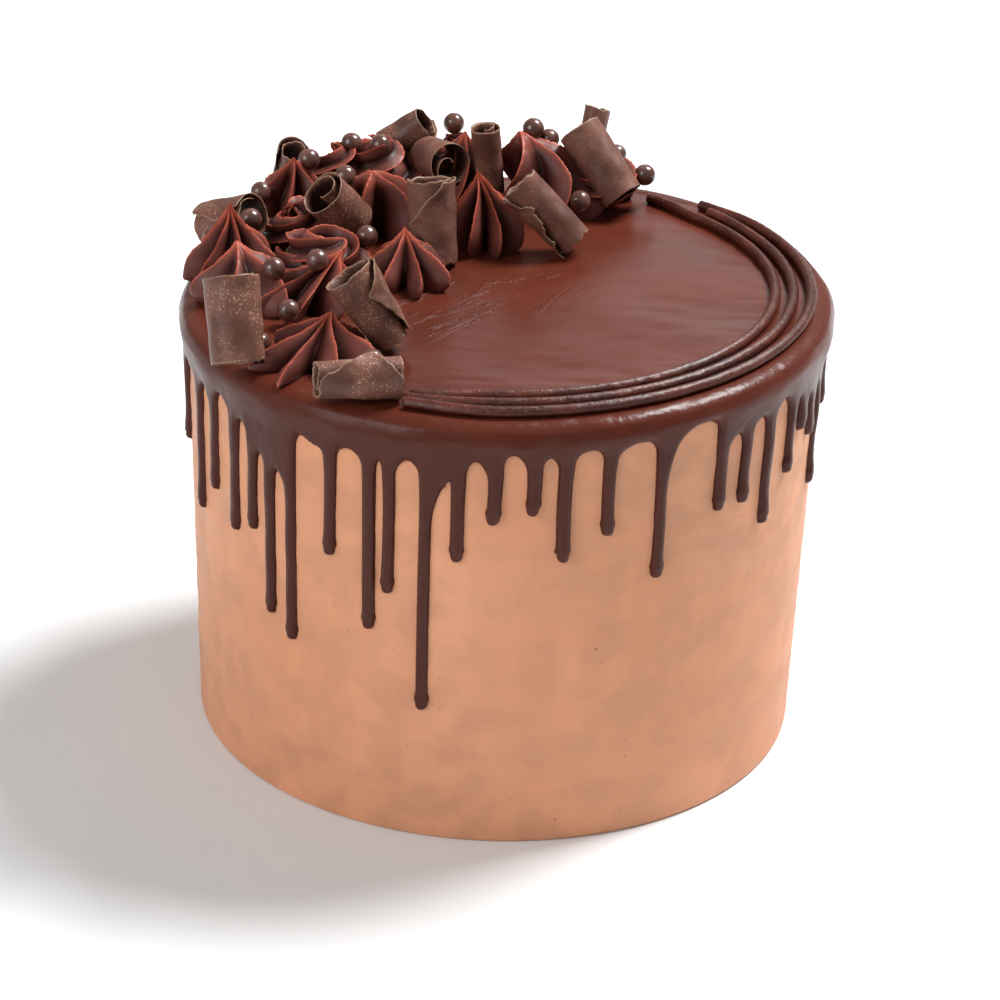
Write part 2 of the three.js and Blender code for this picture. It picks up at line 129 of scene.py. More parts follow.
# Curls: the middle of each roll, its axis, length, outer radius at the end that the axis points to
# and at the other, wraps, a turn about the axis, how far a flap runs on in radians, the flap's point
# along the length, wraps of a tight inner scroll, and how ragged its ends are.
CURLS = [
    ((-65.6, -52.4, 13.1), (-0.12, 0.4, 0.91), 21.5, 7.4, 7.2, 1.3, 6.0, 0.0, 0.5, 0.0, 0.5),
    ((-73.5, 22.3, 8.9), (0.8, -0.49, 0.34), 16.5, 6.6, 6.4, 1.2, 2.1, 0.6, 0.6, 0.0, 0.6),
    ((-60, 53, 12.6), (0.19, -0.46, 0.86), 15, 4.7, 4.2, 1.5, 0.3, 0.0, 0.5, 0.0, 0.8),
    ((-45.2, 22.3, 12.9), (-0.57, -0.43, 0.7), 14.5, 6.8, 6.3, 1.12, 1.1, 0.0, 0.5, 0.5, 0.3),
    ((-20.3, 15.5, 12.2), (0.06, -0.17, -0.98), 22.5, 6.6, 6.8, 1.1, 0.9, 1.6, 0.5, 0.0, 0.7),
    ((-19.5, 57, 13.2), (0.5, -0.86, 0.14), 13.5, 6.7, 6.5, 1.15, 4.9, 0.0, 0.5, 0.6, 0.3),
    ((-29.5, 68.5, 16.5), (0.8, -0.12, 0.59), 15, 5.4, 5.6, 1.2, 6.2, 0.0, 0.5, 0.0, 0.7),
    ((-6.5, 53.5, 14.5), (-0.12, -0.08, 0.99), 20, 4.8, 4.3, 1.3, 0.6, 0.0, 0.5, 0.35, 0.5),
    ((10, 24.5, 10.9), (-0.72, 0.15, 0.67), 22.6, 6.2, 5.4, 1.1, 3.0, 1.0, 0.7, 0.0, 1.0),
    ((24, 56, 13.2), (-0.56, 0.38, 0.74), 22.5, 6.7, 6.5, 1.2, 0.4, 0.0, 0.5, 0.0, 0.4),
    ((21.5, 71.7, 13.6), (0.17, 0.31, 0.93), 20, 4.2, 4.2, 1.2, 0.3, 0.0, 0.5, 0.0, 0.6),
    ((-33.1, -39.6, 11), (0.56, -0.09, -0.83), 21, 5.2, 7.2, 1.1, 2.2, 1.2, 0.32, 0.0, 0.6),
    ((-34.6, -69.2, 5.8), (-0.97, -0.22, 0.03), 21, 4.9, 5.8, 1.1, 4.5, 1.6, 0.33, 0.0, 0.6),
]

DUSTY_CURLS = (1, 2, 4, 7, 12, 13)  # those with many pale specks

PEARL_COUNT = 19

# The crest of a star from its foot to its peak, as shares of the radius and the height.
STAR_CREST = np.array([
    (0.78, -0.04), (0.92, 0.03), (0.99, 0.12), (1.0, 0.21), (0.985, 0.29), (0.94, 0.37), (0.86, 0.44),
    (0.75, 0.51), (0.62, 0.58), (0.48, 0.655), (0.34, 0.735), (0.21, 0.825), (0.10, 0.915), (0.015, 1.0),
])

# Lights: place and aim in metres, and size.
LIGHTS = {
    "key": ((0.62, 0.4, 1.25), (0, 0, 0.08), 0.5),
    "fill": ((-1.05, -0.85, 0.8), (0, 0, 0.06), 1.0),
    "back": ((0.13, 1.5, 0.72), (0.04, 0, 0.1), 0.6),
}
CAMERA = {"place": (0, -0.72104, 0.40243), "tilt": 64.389, "roll": 1.929, "lens": 108}


# ---- sizes and colours that a user would change --------------------------------------------------


def length(name, default, description):
    return bpy.props.FloatProperty(
        name=name, description=description, default=default, min=0.0, precision=4,
        unit="LENGTH", subtype="DISTANCE",
    )


def colour(name, default, description):
    return bpy.props.FloatVectorProperty(
        name=name, description=description, default=default, size=3, min=0.0, max=1.0, subtype="COLOR",
    )


def power(name, default):
    return bpy.props.FloatProperty(
        name=name, description=f"Power of the {name.lower()}", default=default, min=0.0, unit="POWER",
    )


def share(name, default, description):
    return bpy.props.FloatProperty(
        name=name, description=description, default=default, min=0.0, max=1.0, subtype="FACTOR",
    )


class CakeBodySizes(bpy.types.PropertyGroup):
    base_radius: length("Base radius", 0.08, "Radius of the iced cake at the table")
    height: length("Height", 0.1175, "From the table to the top of the ganache")
    flare: length("Flare", 0.0021, "How much wider the side is at the top")
    slope_right: bpy.props.FloatProperty(
        name="Slope to the right", description="Rise of the top towards the right", default=0.028,
    )
    slope_back: bpy.props.FloatProperty(
        name="Slope to the back", description="Rise of the top towards the back", default=0.022,
    )


class GanacheSizes(bpy.types.PropertyGroup):
    top: length("Top thickness", 0.0023, "Thickness of the ganache on the top")
    side: length("Side thickness", 0.0024, "Thickness of the ganache under the rim")
    rim: length("Rim rounding", 0.0053, "Radius of the rounded rim")
    neck: length("Drip half width", 0.00172, "Half the width of a drip's neck")
    bulb: length("Bulb radius", 0.00182, "Radius of the drop at the end of a drip")
    drip_depth: length("Drip thickness", 0.0014, "Thickness down the middle of a drip")
    web: length("Web", 0.0042, "Size of the rounding between the skirt and a drip")


class CreamSizes(bpy.types.PropertyGroup):
    ridges: bpy.props.IntProperty(name="Rope ridges", description="Ridges of a wound rope", default=5, min=3)
    valley: share("Valley depth", 0.7, "Depth of the valleys as a share of the radius")
    rope_valley: share("Rope valley depth", 0.5, "Depth of the valleys of a wound rope")
    sharpness: bpy.props.FloatProperty(
        name="Sharpness", description="Below one, the ridges are blades", default=0.85, min=0.2, max=2.0,
    )
    line_radius: length("Line radius", 0.00135, "Radius of a piped line")
    line_grain: length("Line grain", 0.0001, "Height of the grain on a piped line")


class CurlSizes(bpy.types.PropertyGroup):
    wall: length("Wall", 0.00045, "Thickness of a rolled sheet")
    pitch: length("Pitch", 0.0012, "From one wrap to the next")
    ragged: length("Raggedness", 0.0011, "Depth of the broken ends")


class PearlSizes(bpy.types.PropertyGroup):
    radius: length("Radius", 0.0029, "Radius of a chocolate pearl")
    variation: share("Variation", 0.035, "How much the pearls differ in size")
    unevenness: length("Unevenness", 0.00012, "How far a pearl's surface rises and falls")
    seed: bpy.props.IntProperty(name="Seed", description="Seed of the sizes", default=4)


class CakeFinishes(bpy.types.PropertyGroup):
    buttercream: colour("Buttercream", (0.657, 0.302, 0.168), "Colour of the side")
    ganache: colour("Ganache", (0.1, 0.0205, 0.0105), "Colour of the poured ganache")
    cream: colour("Piped cream", (0.14, 0.041, 0.032), "Colour of the piped cream")
    # Painted shade: this dark colour deep in the cream's valleys stands in for the shade that falls there.
    valley: colour("Cream valley", (0.03, 0.006, 0.004), "Colour of the piped cream deep in its valleys")
    # Painted light: this redder colour at the thin crests stands in for light shining through the thin cream.
    crest: colour("Cream crest", (0.45, 0.095, 0.055), "Colour of the piped cream at its thin crests")
    curl: colour("Curl", (0.14, 0.059, 0.042), "Colour of the rolled chocolate")
    crumb: colour("Crumb", (0.42, 0.26, 0.17), "Colour of the curls' broken edges and crumbs")
    pearl: colour("Pearl", (0.1, 0.04, 0.03), "Colour of the chocolate pearls")


class StageSettings(bpy.types.PropertyGroup):
    floor: colour("Floor", (0.87, 0.895, 0.905), "Colour of the floor")
    key: power("Key light", 30)
    fill: power("Fill light", 11)
    back: power("Back light", 0.9)
    sky: bpy.props.FloatProperty(
        name="Sky", description="Strength of the pale surroundings", default=0.3, min=0.0,
    )


class CakeSettings(bpy.types.PropertyGroup):
    body: bpy.props.PointerProperty(type=CakeBodySizes)
    ganache: bpy.props.PointerProperty(type=GanacheSizes)
    cream: bpy.props.PointerProperty(type=CreamSizes)
    curls: bpy.props.PointerProperty(type=CurlSizes)
    pearls: bpy.props.PointerProperty(type=PearlSizes)
    finishes: bpy.props.PointerProperty(type=CakeFinishes)
    stage: bpy.props.PointerProperty(type=StageSettings)


def settings():
    return bpy.context.scene.layer_cake


# ---- helpers for shapes --------------------------------------------------------------------------


def smooth(t):
    t = np.clip(t, 0, 1)
    return t * t * (3 - 2 * t)


def cake_height():
    return settings().body.height / MM


def side_radius(z):
    body = settings().body
    return (body.base_radius + body.flare * z / cake_height()) / MM


def settled(x, y, z):
    """Height once the cake's slope is put in: none of it at the table, all of it at the top."""
    body = settings().body
    return z * (1 + (body.slope_right * x + body.slope_back * y) / cake_height())


def top_at(x, y):
    """Height of the ganache's surface over a point, which falls away over the rounded rim."""
    ganache = settings().ganache
    rim = ganache.rim / MM
    flat = side_radius(cake_height()) + ganache.side / MM - rim
    past = np.clip(np.hypot(x, y) - flat, 0, rim * 0.93)
    return settled(x, y, cake_height() - rim + np.sqrt(rim * rim - past * past))


def waves(points, wavelength, seed, count=12):
    """Smooth random waves of roughly one wavelength, about -1 to 1, at points in their last axis."""
    rng = np.random.default_rng(seed)
    directions = rng.normal(size=(count, points.shape[-1]))
    directions /= np.linalg.norm(directions, axis=1)[:, None]
    directions *= (2 * np.pi / (wavelength * rng.uniform(0.7, 1.5, count)))[:, None]
    phases = rng.uniform(0, 2 * np.pi, count)
    return np.sin(points @ directions.T + phases).sum(-1) / math.sqrt(count / 2)


def grid_faces(rows, columns, closed=True):
    """Quads between rows of points. They face out when the columns run anticlockwise seen from above."""
    c = np.arange(columns if closed else columns - 1)
    n = (c + 1) % columns
    r = np.arange(rows - 1)[:, None] * columns
    return np.stack([r + c, r + n, r + n + columns, r + c + columns], -1).reshape(-1, 4)


def lofted(rings):
    """Points and faces of a closed solid through rings (rows, columns, 3), each end closed by a fan."""
    rows, columns = rings.shape[:2]
    points = np.concatenate([rings.reshape(-1, 3), [rings[0].mean(0)], [rings[-1].mean(0)]])
    c = np.arange(columns)
    n = (c + 1) % columns
    foot, head, last = rows * columns, rows * columns + 1, (rows - 1) * columns
    fans = [
        np.stack([n, c, np.full(columns, foot)], -1),
        np.stack([last + c, last + n, np.full(columns, head)], -1),
    ]
    return points, [grid_faces(rows, columns), *fans]


def with_caps(marks):
    """Marks of a lofted solid, with those of its two end points."""
    return np.concatenate([marks.ravel(), [marks[0].mean(), marks[-1].mean()]])


def as_object(name, mesh, material):
    mesh.materials.clear()
    mesh.materials.append(material)
    mesh.polygons.foreach_set("use_smooth", [True] * len(mesh.polygons))
    piece = bpy.data.objects.new(name, mesh)
    bpy.context.scene.collection.objects.link(piece)
    return piece


def solid(name, points, faces, material, marks=None):
    mesh = bpy.data.meshes.new(name)
    mesh.from_pydata((points * MM).tolist(), [], [face for part in faces for face in part.tolist()])
    mesh.update()
    for mark, values in (marks or {}).items():
        mesh.attributes.new(mark, "FLOAT", "POINT").data.foreach_set("value", np.ravel(values))
    return as_object(name, mesh, material)


def put_on_cake(piece, slot, *nodes):
    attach(piece, "root")
    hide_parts(*nodes)


def put_solid(name, shape, slot, node):
    """A solid of points, faces and marks, finished and put on the cake in place of its node."""
    points, faces, marks = shape
    put_on_cake(solid(name, points, faces, finish(slot), marks), slot, node)


# ---- helpers for nodes ---------------------------------------------------------------------------


def add_node(tree, kind, inputs=None, **options):
    """A node with its options set and each input linked to a socket or set to a value."""
    made = tree.nodes.new(kind)
    for option, value in options.items():
        setattr(made, option, value)
    for key, value in (inputs or {}).items():
        if isinstance(value, bpy.types.NodeSocket):
            tree.links.new(value, made.inputs[key])
        else:
            made.inputs[key].default_value = value
    return made


def sums(tree, operation, *values):
    return add_node(tree, "ShaderNodeMath", dict(enumerate(values)), operation=operation).outputs[0]


def product(tree, *values):
    return sums(tree, "MULTIPLY", *values)


def vectors(tree, operation, *values, **scale):
    """Vector maths: a vector, or the value of a distance or a length."""
    node = add_node(tree, "ShaderNodeVectorMath", {**dict(enumerate(values)), **scale}, operation=operation)
    return node.outputs["Value" if operation in ("DISTANCE", "LENGTH") else "Vector"]


def stretch(tree, value, low, high, to_low=0.0, to_high=1.0):
    """A value mapped smoothly from one range to another, and clamped."""
    node = add_node(tree, "ShaderNodeMapRange", {
        "Value": value, "From Min": low, "From Max": high, "To Min": to_low, "To Max": to_high,
    }, interpolation_type="SMOOTHSTEP")
    return node.outputs["Result"]


def mixed(tree, factor, first, second):
    node = add_node(tree, "ShaderNodeMix", {0: factor, 6: first, 7: second}, data_type="RGBA")
    return node.outputs[2]


def noise(tree, place, scale, detail, **more):
    node = add_node(tree, "ShaderNodeTexNoise", {"Vector": place, "Scale": scale, "Detail": detail, **more})
    return node.outputs["Fac"]


def marked(tree, name):
    """The value of a mark that the mesh carries."""
    return add_node(tree, "ShaderNodeAttribute", attribute_name=name).outputs["Fac"]


def node_group(kind, name, inputs, outputs):
    """A new node group with its input and output nodes. Inputs are name: (socket, default)."""
    tree = bpy.data.node_groups.new(name, kind)
    for label, (socket, default) in inputs.items():
        made = tree.interface.new_socket(label, in_out="INPUT", socket_type=socket)
        if default is not None:
            made.default_value = default
    for label, socket in outputs.items():
        tree.interface.new_socket(label, in_out="OUTPUT", socket_type=socket)
    return tree, tree.nodes.new("NodeGroupInput"), tree.nodes.new("NodeGroupOutput")


FLOAT = "NodeSocketFloat"
VECTOR = "NodeSocketVector"


def grain_group():
    """Fine grain as a height."""
    tree, given, out = node_group("ShaderNodeTree", "Fine Grain", {
        "Vector": (VECTOR, None), "Scale": (FLOAT, 900.0), "Roughness": (FLOAT, 0.6),
    }, {"Height": FLOAT})
    height = noise(
        tree, given.outputs["Vector"], given.outputs["Scale"], 4.0, Roughness=given.outputs["Roughness"],
    )
    tree.links.new(height, out.inputs["Height"])
    return tree


def specks_group():
    """Small scattered specks as a mask: bent spots round random points, of which a share is kept."""
    tree, given, out = node_group("ShaderNodeTree", "Specks", {
        "Vector": (VECTOR, None), "Scale": (FLOAT, 400.0), "Size": (FLOAT, 0.2), "Amount": (FLOAT, 0.5),
    }, {"Mask": FLOAT})
    wander = add_node(tree, "ShaderNodeTexNoise", {
        "Vector": given.outputs["Vector"], "Scale": product(tree, given.outputs["Scale"], 1.6),
    })
    shift = vectors(
        tree, "SCALE", wander.outputs["Color"], Scale=sums(tree, "DIVIDE", 0.9, given.outputs["Scale"]),
    )
    cells = add_node(tree, "ShaderNodeTexVoronoi", {
        "Vector": vectors(tree, "ADD", given.outputs["Vector"], shift), "Scale": given.outputs["Scale"],
    })
    spot = sums(tree, "LESS_THAN", cells.outputs["Distance"], given.outputs["Size"])
    chance = add_node(tree, "ShaderNodeSeparateColor", {0: cells.outputs["Color"]})
    kept = sums(tree, "LESS_THAN", chance.outputs[0], given.outputs["Amount"])
    tree.links.new(product(tree, spot, kept), out.inputs["Mask"])
    return tree


def streaks_group():
    """Long soft streaks as a mask: noise that is squeezed across the streaks."""
    tree, given, out = node_group("ShaderNodeTree", "Streaks", {
        "Vector": (VECTOR, None), "Squeeze": (VECTOR, (1.0, 1.0, 8.0)), "Scale": (FLOAT, 40.0),
    }, {"Mask": FLOAT})
    squeezed = vectors(tree, "MULTIPLY", given.outputs["Vector"], given.outputs["Squeeze"])
    mask = noise(tree, squeezed, given.outputs["Scale"], 5.0, Roughness=0.55)
    tree.links.new(mask, out.inputs["Mask"])
    return tree


GROUPS = {"Fine Grain": grain_group, "Specks": specks_group, "Streaks": streaks_group}


def effect(tree, name, place, **values):
    """A shared effect at a place, as a mask or a height."""
    group = bpy.data.node_groups.get(name) or GROUPS[name]()
    return add_node(tree, "ShaderNodeGroup", {"Vector": place, **values}, node_tree=group).outputs[0]


# ---- finishes ------------------------------------------------------------------------------------


def new_finish(name, plain):
    """A material with a Principled BSDF whose even values are set, and its object coordinates."""
    finish = bpy.data.materials.new(f"{name}_look")
    finish.use_nodes = True
    tree = finish.node_tree
    shader = tree.nodes["Principled BSDF"]
    for key, value in plain.items():
        shader.inputs[key].default_value = value
    return finish, tree, shader, tree.nodes.new("ShaderNodeTexCoord").outputs["Object"]


def bumped(tree, shader, height, strength, distance, under=None):
    bump = add_node(tree, "ShaderNodeBump", {"Height": height, "Strength": strength, "Distance": distance})
    if under is not None:
        tree.links.new(under, bump.inputs["Normal"])
    tree.links.new(bump.outputs[0], shader.inputs["Normal"])
    return bump.outputs[0]


def rgba(value, red=1.0, green=None, blue=None):
    """A colour for a socket, with each part multiplied, or all by the first factor."""
    factors = (red, red if green is None else green, red if blue is None else blue)
    return (*(part * factor for part, factor in zip(value, factors)), 1.0)


def buttercream_finish():
    finish, tree, shader, place = new_finish("buttercream", {"Specular IOR Level": 0.35})
    base = settings().finishes.buttercream
    streaks = effect(tree, "Streaks", place, Squeeze=(1.0, 1.0, 7.0), Scale=28.0)
    upright = effect(tree, "Streaks", place, Squeeze=(3.0, 3.0, 0.5), Scale=35.0)
    clouds = noise(tree, place, 16.0, 3.0)
    specks = effect(tree, "Specks", place, Scale=260.0, Size=0.11, Amount=0.16)
    pits = effect(tree, "Specks", place, Scale=110.0, Size=0.07, Amount=0.2)
    pale = mixed(tree, stretch(tree, streaks, 0.35, 0.7), rgba(base), rgba(base, 1.06))
    warm = mixed(tree, stretch(tree, clouds, 0.35, 0.7, 0.0, 0.6), pale, rgba(base, 0.93, 0.84, 0.74))
    brushed = mixed(tree, stretch(tree, upright, 0.45, 0.7, 0.0, 0.4), warm, rgba(base, 1.15))
    fine = noise(tree, place, 90.0, 6.0)
    mottled = mixed(tree, stretch(tree, fine, 0.4, 0.65, 0.0, 0.7), brushed, rgba(base, 0.84))
    spotted = mixed(tree, product(tree, specks, 0.35), mottled, rgba((0.32, 0.12, 0.07)))
    # Painted shade: the air-bubble pits are coloured dark brown, for the shade inside them.
    pit_shade_painted = mixed(tree, product(tree, pits, 0.7), spotted, rgba((0.18, 0.06, 0.04)))
    tree.links.new(pit_shade_painted, shader.inputs["Base Color"])
    tree.links.new(stretch(tree, streaks, 0.3, 0.7, 0.5, 0.62), shader.inputs["Roughness"])
    grain = effect(tree, "Fine Grain", place, Scale=900.0)
    under = bumped(tree, shader, streaks, 0.3, 0.0006)
    under = bumped(tree, shader, grain, 0.12, 0.0003, under)
    bumped(tree, shader, sums(tree, "SUBTRACT", 1.0, pits), 0.5, 0.0003, under)
    return finish


def ganache_finish():
    finish, tree, shader, place = new_finish("ganache", {
        "Specular IOR Level": 0.17, "Coat Weight": 0.06, "Coat Roughness": 0.28, "Coat IOR": 1.4,
    })
    base = settings().finishes.ganache
    spread = effect(tree, "Streaks", place, Squeeze=(1.0, 2.2, 1.0), Scale=22.0)
    clouds = noise(tree, place, 30.0, 4.0)
    dark = mixed(tree, stretch(tree, spread, 0.35, 0.7), rgba(base, 0.92), rgba(base, 1.12))
    cloudy = mixed(tree, stretch(tree, clouds, 0.5, 0.75, 0.0, 0.4), dark, rgba(base, 1.2))
    # Painted shade: below the rim the ganache is coloured darker and less red than on the top, standing in
    # for the weaker light on the upright side.
    above = add_node(tree, "ShaderNodeSeparateXYZ", {0: place}).outputs["Z"]
    on_side = stretch(tree, above, 0.107, 0.1155, 1.0, 0.0)
    side_shade_painted = mixed(tree, on_side, cloudy, rgba(base, 0.68, 0.74, 0.85))
    tree.links.new(side_shade_painted, shader.inputs["Base Color"])

    # Knife marks lie round the inner edge of the crescent of rosettes, and fade over the open top.
    knife = add_node(tree, "ShaderNodeMapping", {
        "Vector": place, "Rotation": (0.0, 0.0, math.radians(50)), "Scale": (4.0, 1.0, 1.0),
    }, vector_type="TEXTURE")
    marks = noise(tree, knife.outputs[0], 70.0, 6.0, Roughness=0.65, Distortion=0.9)
    from_crescent = vectors(tree, "DISTANCE", place, (-0.016, -0.004, 0.1175))
    near = stretch(tree, from_crescent, 0.012, 0.042, 1.0, 0.0)
    rough = product(tree, near, stretch(tree, marks, 0.5, 0.62))
    satin = stretch(tree, clouds, 0.3, 0.7, 0.27, 0.38)
    tree.links.new(sums(tree, "ADD", satin, product(tree, rough, 0.1)), shader.inputs["Roughness"])
    under = bumped(tree, shader, spread, 0.2, 0.001)
    under = bumped(tree, shader, rough, 0.8, 0.0006, under)

    # Uneven glints round the rim, where the top turns into the side.
    reach = vectors(tree, "LENGTH", vectors(tree, "MULTIPLY", place, (1.0, 1.0, 0.0)))
    past_top = stretch(tree, reach, 0.0765, 0.0795)
    band = product(tree, past_top, stretch(tree, reach, 0.083, 0.0845, 1.0, 0.0))
    ripples = noise(tree, place, 140.0, 5.0)
    bumped(tree, shader, product(tree, band, ripples), 0.6, 0.0012, under)
    return finish


def cream_finish():
    finish, tree, shader, place = new_finish("piped_cream", {"Specular IOR Level": 0.18})
    finishes = settings().finishes
    clouds = noise(tree, place, 90.0, 4.0)
    grain = effect(tree, "Fine Grain", place, Scale=700.0, Roughness=0.65)
    cloudy = stretch(tree, clouds, 0.35, 0.7)
    body = mixed(tree, cloudy, rgba(finishes.cream, 0.85), rgba(finishes.cream, 1.2))
    # Painted shade: the cream is darkened towards its valley colour where the deep mark lies.
    shade_painted = mixed(tree, marked(tree, "deep"), body, rgba(finishes.valley))
    # Painted light: where the crest mark lies, the redder crest colour stands in for light shining through
    # the thin cream.
    edge = product(tree, marked(tree, "crest"), stretch(tree, clouds, 0.2, 0.5, 0.6, 1.0))
    tree.links.new(mixed(tree, edge, shade_painted, rgba(finishes.crest)), shader.inputs["Base Color"])
    tree.links.new(stretch(tree, grain, 0.3, 0.7, 0.34, 0.46), shader.inputs["Roughness"])
    under = bumped(tree, shader, clouds, 0.25, 0.0006)
    bumped(tree, shader, grain, 0.2, 0.0002, under)
    return finish


def line_finish():
    finish, tree, shader, place = new_finish("piped_line_cream", {"Specular IOR Level": 0.42})
    base = settings().finishes.ganache
    grain = effect(tree, "Fine Grain", place, Scale=1300.0, Roughness=0.7)
    clouds = noise(tree, place, 120.0, 5.0)
    # Painted glints: scattered pale specks in the colour stand in for small highlights on the grain.
    glints = effect(tree, "Specks", place, Scale=700.0, Size=0.3, Amount=0.25)
    body = mixed(tree, stretch(tree, clouds, 0.35, 0.7), rgba(base, 0.55), rgba(base, 1.1))
    with_painted_glints = mixed(tree, product(tree, glints, 0.1), body, rgba((0.4, 0.2, 0.15)))
    tree.links.new(with_painted_glints, shader.inputs["Base Color"])
    tree.links.new(stretch(tree, grain, 0.3, 0.7, 0.24, 0.46), shader.inputs["Roughness"])
    under = bumped(tree, shader, clouds, 0.6, 0.0006)
    bumped(tree, shader, grain, 0.5, 0.0003, under)
    return finish


def curl_finish():
    finish, tree, shader, place = new_finish("curl_chocolate", {"Specular IOR Level": 0.25})
    base, crumb = settings().finishes.curl, settings().finishes.crumb
    clouds = noise(tree, place, 110.0, 5.0)
    fine = effect(tree, "Fine Grain", place, Scale=800.0, Roughness=0.7)
    small = effect(tree, "Specks", place, Scale=1900.0, Size=0.32, Amount=0.4)
    large = effect(tree, "Specks", place, Scale=1250.0, Size=0.32, Amount=0.22)
    patches = stretch(tree, clouds, 0.38, 0.58)
    specks = product(tree, sums(tree, "MAXIMUM", small, large), patches)
    body = mixed(tree, stretch(tree, clouds, 0.3, 0.7), rgba(base, 0.72), rgba(base, 1.25))
    bloom = mixed(tree, product(tree, patches, 0.25), body, rgba(base, 1.7, 1.65, 1.6))
    spotted = mixed(tree, product(tree, specks, marked(tree, "dust")), bloom, rgba(crumb))
    # Painted shade: the roll's inner faces are darkened towards a third of the curl colour, for the shade
    # inside the hollow.
    shade_painted = mixed(tree, marked(tree, "inner"), spotted, rgba(base, 0.3))
    worn = product(tree, marked(tree, "edge"), stretch(tree, fine, 0.35, 0.55, 0.2, 0.95))
    tree.links.new(mixed(tree, worn, shade_painted, rgba(crumb, 0.85)), shader.inputs["Base Color"])
    tree.links.new(stretch(tree, clouds, 0.3, 0.7, 0.36, 0.5), shader.inputs["Roughness"])
    under = bumped(tree, shader, clouds, 0.25, 0.0005)
    under = bumped(tree, shader, fine, 0.25, 0.0002, under)
    bumped(tree, shader, specks, 0.35, 0.0002, under)
    return finish


def pearl_finish():
    finish, tree, shader, place = new_finish("pearl_chocolate", {
        "Specular IOR Level": 0.5, "Coat Weight": 0.4, "Coat Roughness": 0.12, "Coat IOR": 1.5,
    })
    base = settings().finishes.pearl
    clouds = noise(tree, place, 260.0, 3.0)
    scuffs = effect(tree, "Specks", place, Scale=650.0, Size=0.2, Amount=0.15)
    body = mixed(tree, stretch(tree, clouds, 0.35, 0.7), rgba(base, 0.8), rgba(base, 1.5))
    scuffed = mixed(tree, product(tree, scuffs, 0.3), body, rgba((0.2, 0.12, 0.09)))
    tree.links.new(scuffed, shader.inputs["Base Color"])
    tree.links.new(stretch(tree, clouds, 0.3, 0.7, 0.22, 0.36), shader.inputs["Roughness"])
    bumped(tree, shader, clouds, 0.3, 0.0004)
    return finish


FINISHES = {
    "buttercream": buttercream_finish, "ganache": ganache_finish, "piped_cream": cream_finish,
    "piped_line_cream": line_finish, "curl_chocolate": curl_finish, "pearl_chocolate": pearl_finish,
}


def finish(name):
    return bpy.data.materials.get(f"{name}_look") or FINISHES[name]()


# ---- iced body -----------------------------------------------------------------------------------


def iced_body():
    columns = 240
    top = cake_height() - settings().ganache.top / MM - 0.05
    foot, edge = 1.0, 3.0
    turns = np.linspace(0, np.pi / 2, 6)
    profile = [(side_radius(0) - foot * (1 - math.sin(t)), foot * (1 - math.cos(t))) for t in turns]
    profile += [(side_radius(z), z) for z in np.arange(2.5, top - edge - 1, 1.5)]
    profile += [(side_radius(top) - edge * (1 - math.cos(t)), top - edge * (1 - math.sin(t))) for t in turns]
    radius, z = np.array(profile).T[:, :, None]
    angle = np.linspace(0, 2 * np.pi, columns, endpoint=False)
    spread = np.stack(np.broadcast_arrays(radius * np.cos(angle), radius * np.sin(angle), 4 * z), -1)
    held = smooth(z / 4) * smooth((top - z) / 6)
    radius = radius + held * (0.05 * waves(spread, 40, 3) + 0.03 * waves(spread, 14, 5))
    x, y = radius * np.cos(angle), radius * np.sin(angle)
    rings = np.stack([x, y, settled(x, y, z)], -1)
    return solid("iced_body", *lofted(rings), finish("buttercream"))


# ---- ganache -------------------------------------------------------------------------------------


def random_from(seed):
    """The CAD source's repeatable random numbers from 0 to 1."""
    state = seed
    while True:
        state = (state * 16807) % 2147483647
        yield state / 2147483647


def all_drips():
    drips = list(FRONT_DRIPS)
    back = BACK_DRIPS
    random = random_from(back["seed"])
    for angle in range(back["start"], back["stop"], back["every"]):
        shift = back["jitter"] * (next(random) - 0.5)
        tip = back["lowest"] + (back["highest"] - back["lowest"]) * next(random)
        drips.append((angle + shift, tip, back["arch"], 0))
    return drips


def joined(a, b, size):
    """The smaller of two distances, rounded where they meet."""
    near = np.clip(1 - np.abs(a - b) / size, 0, 1)
    return np.minimum(a, b) - near * near * size / 4


SHEET_BACK = 1.2  # how deep the sheet's back lies in the buttercream
SHEET_STEP = 0.5  # between two rows of the sheet's grid
DROP_RISE = 3.2  # from the tip of a drip to the middle of its drop


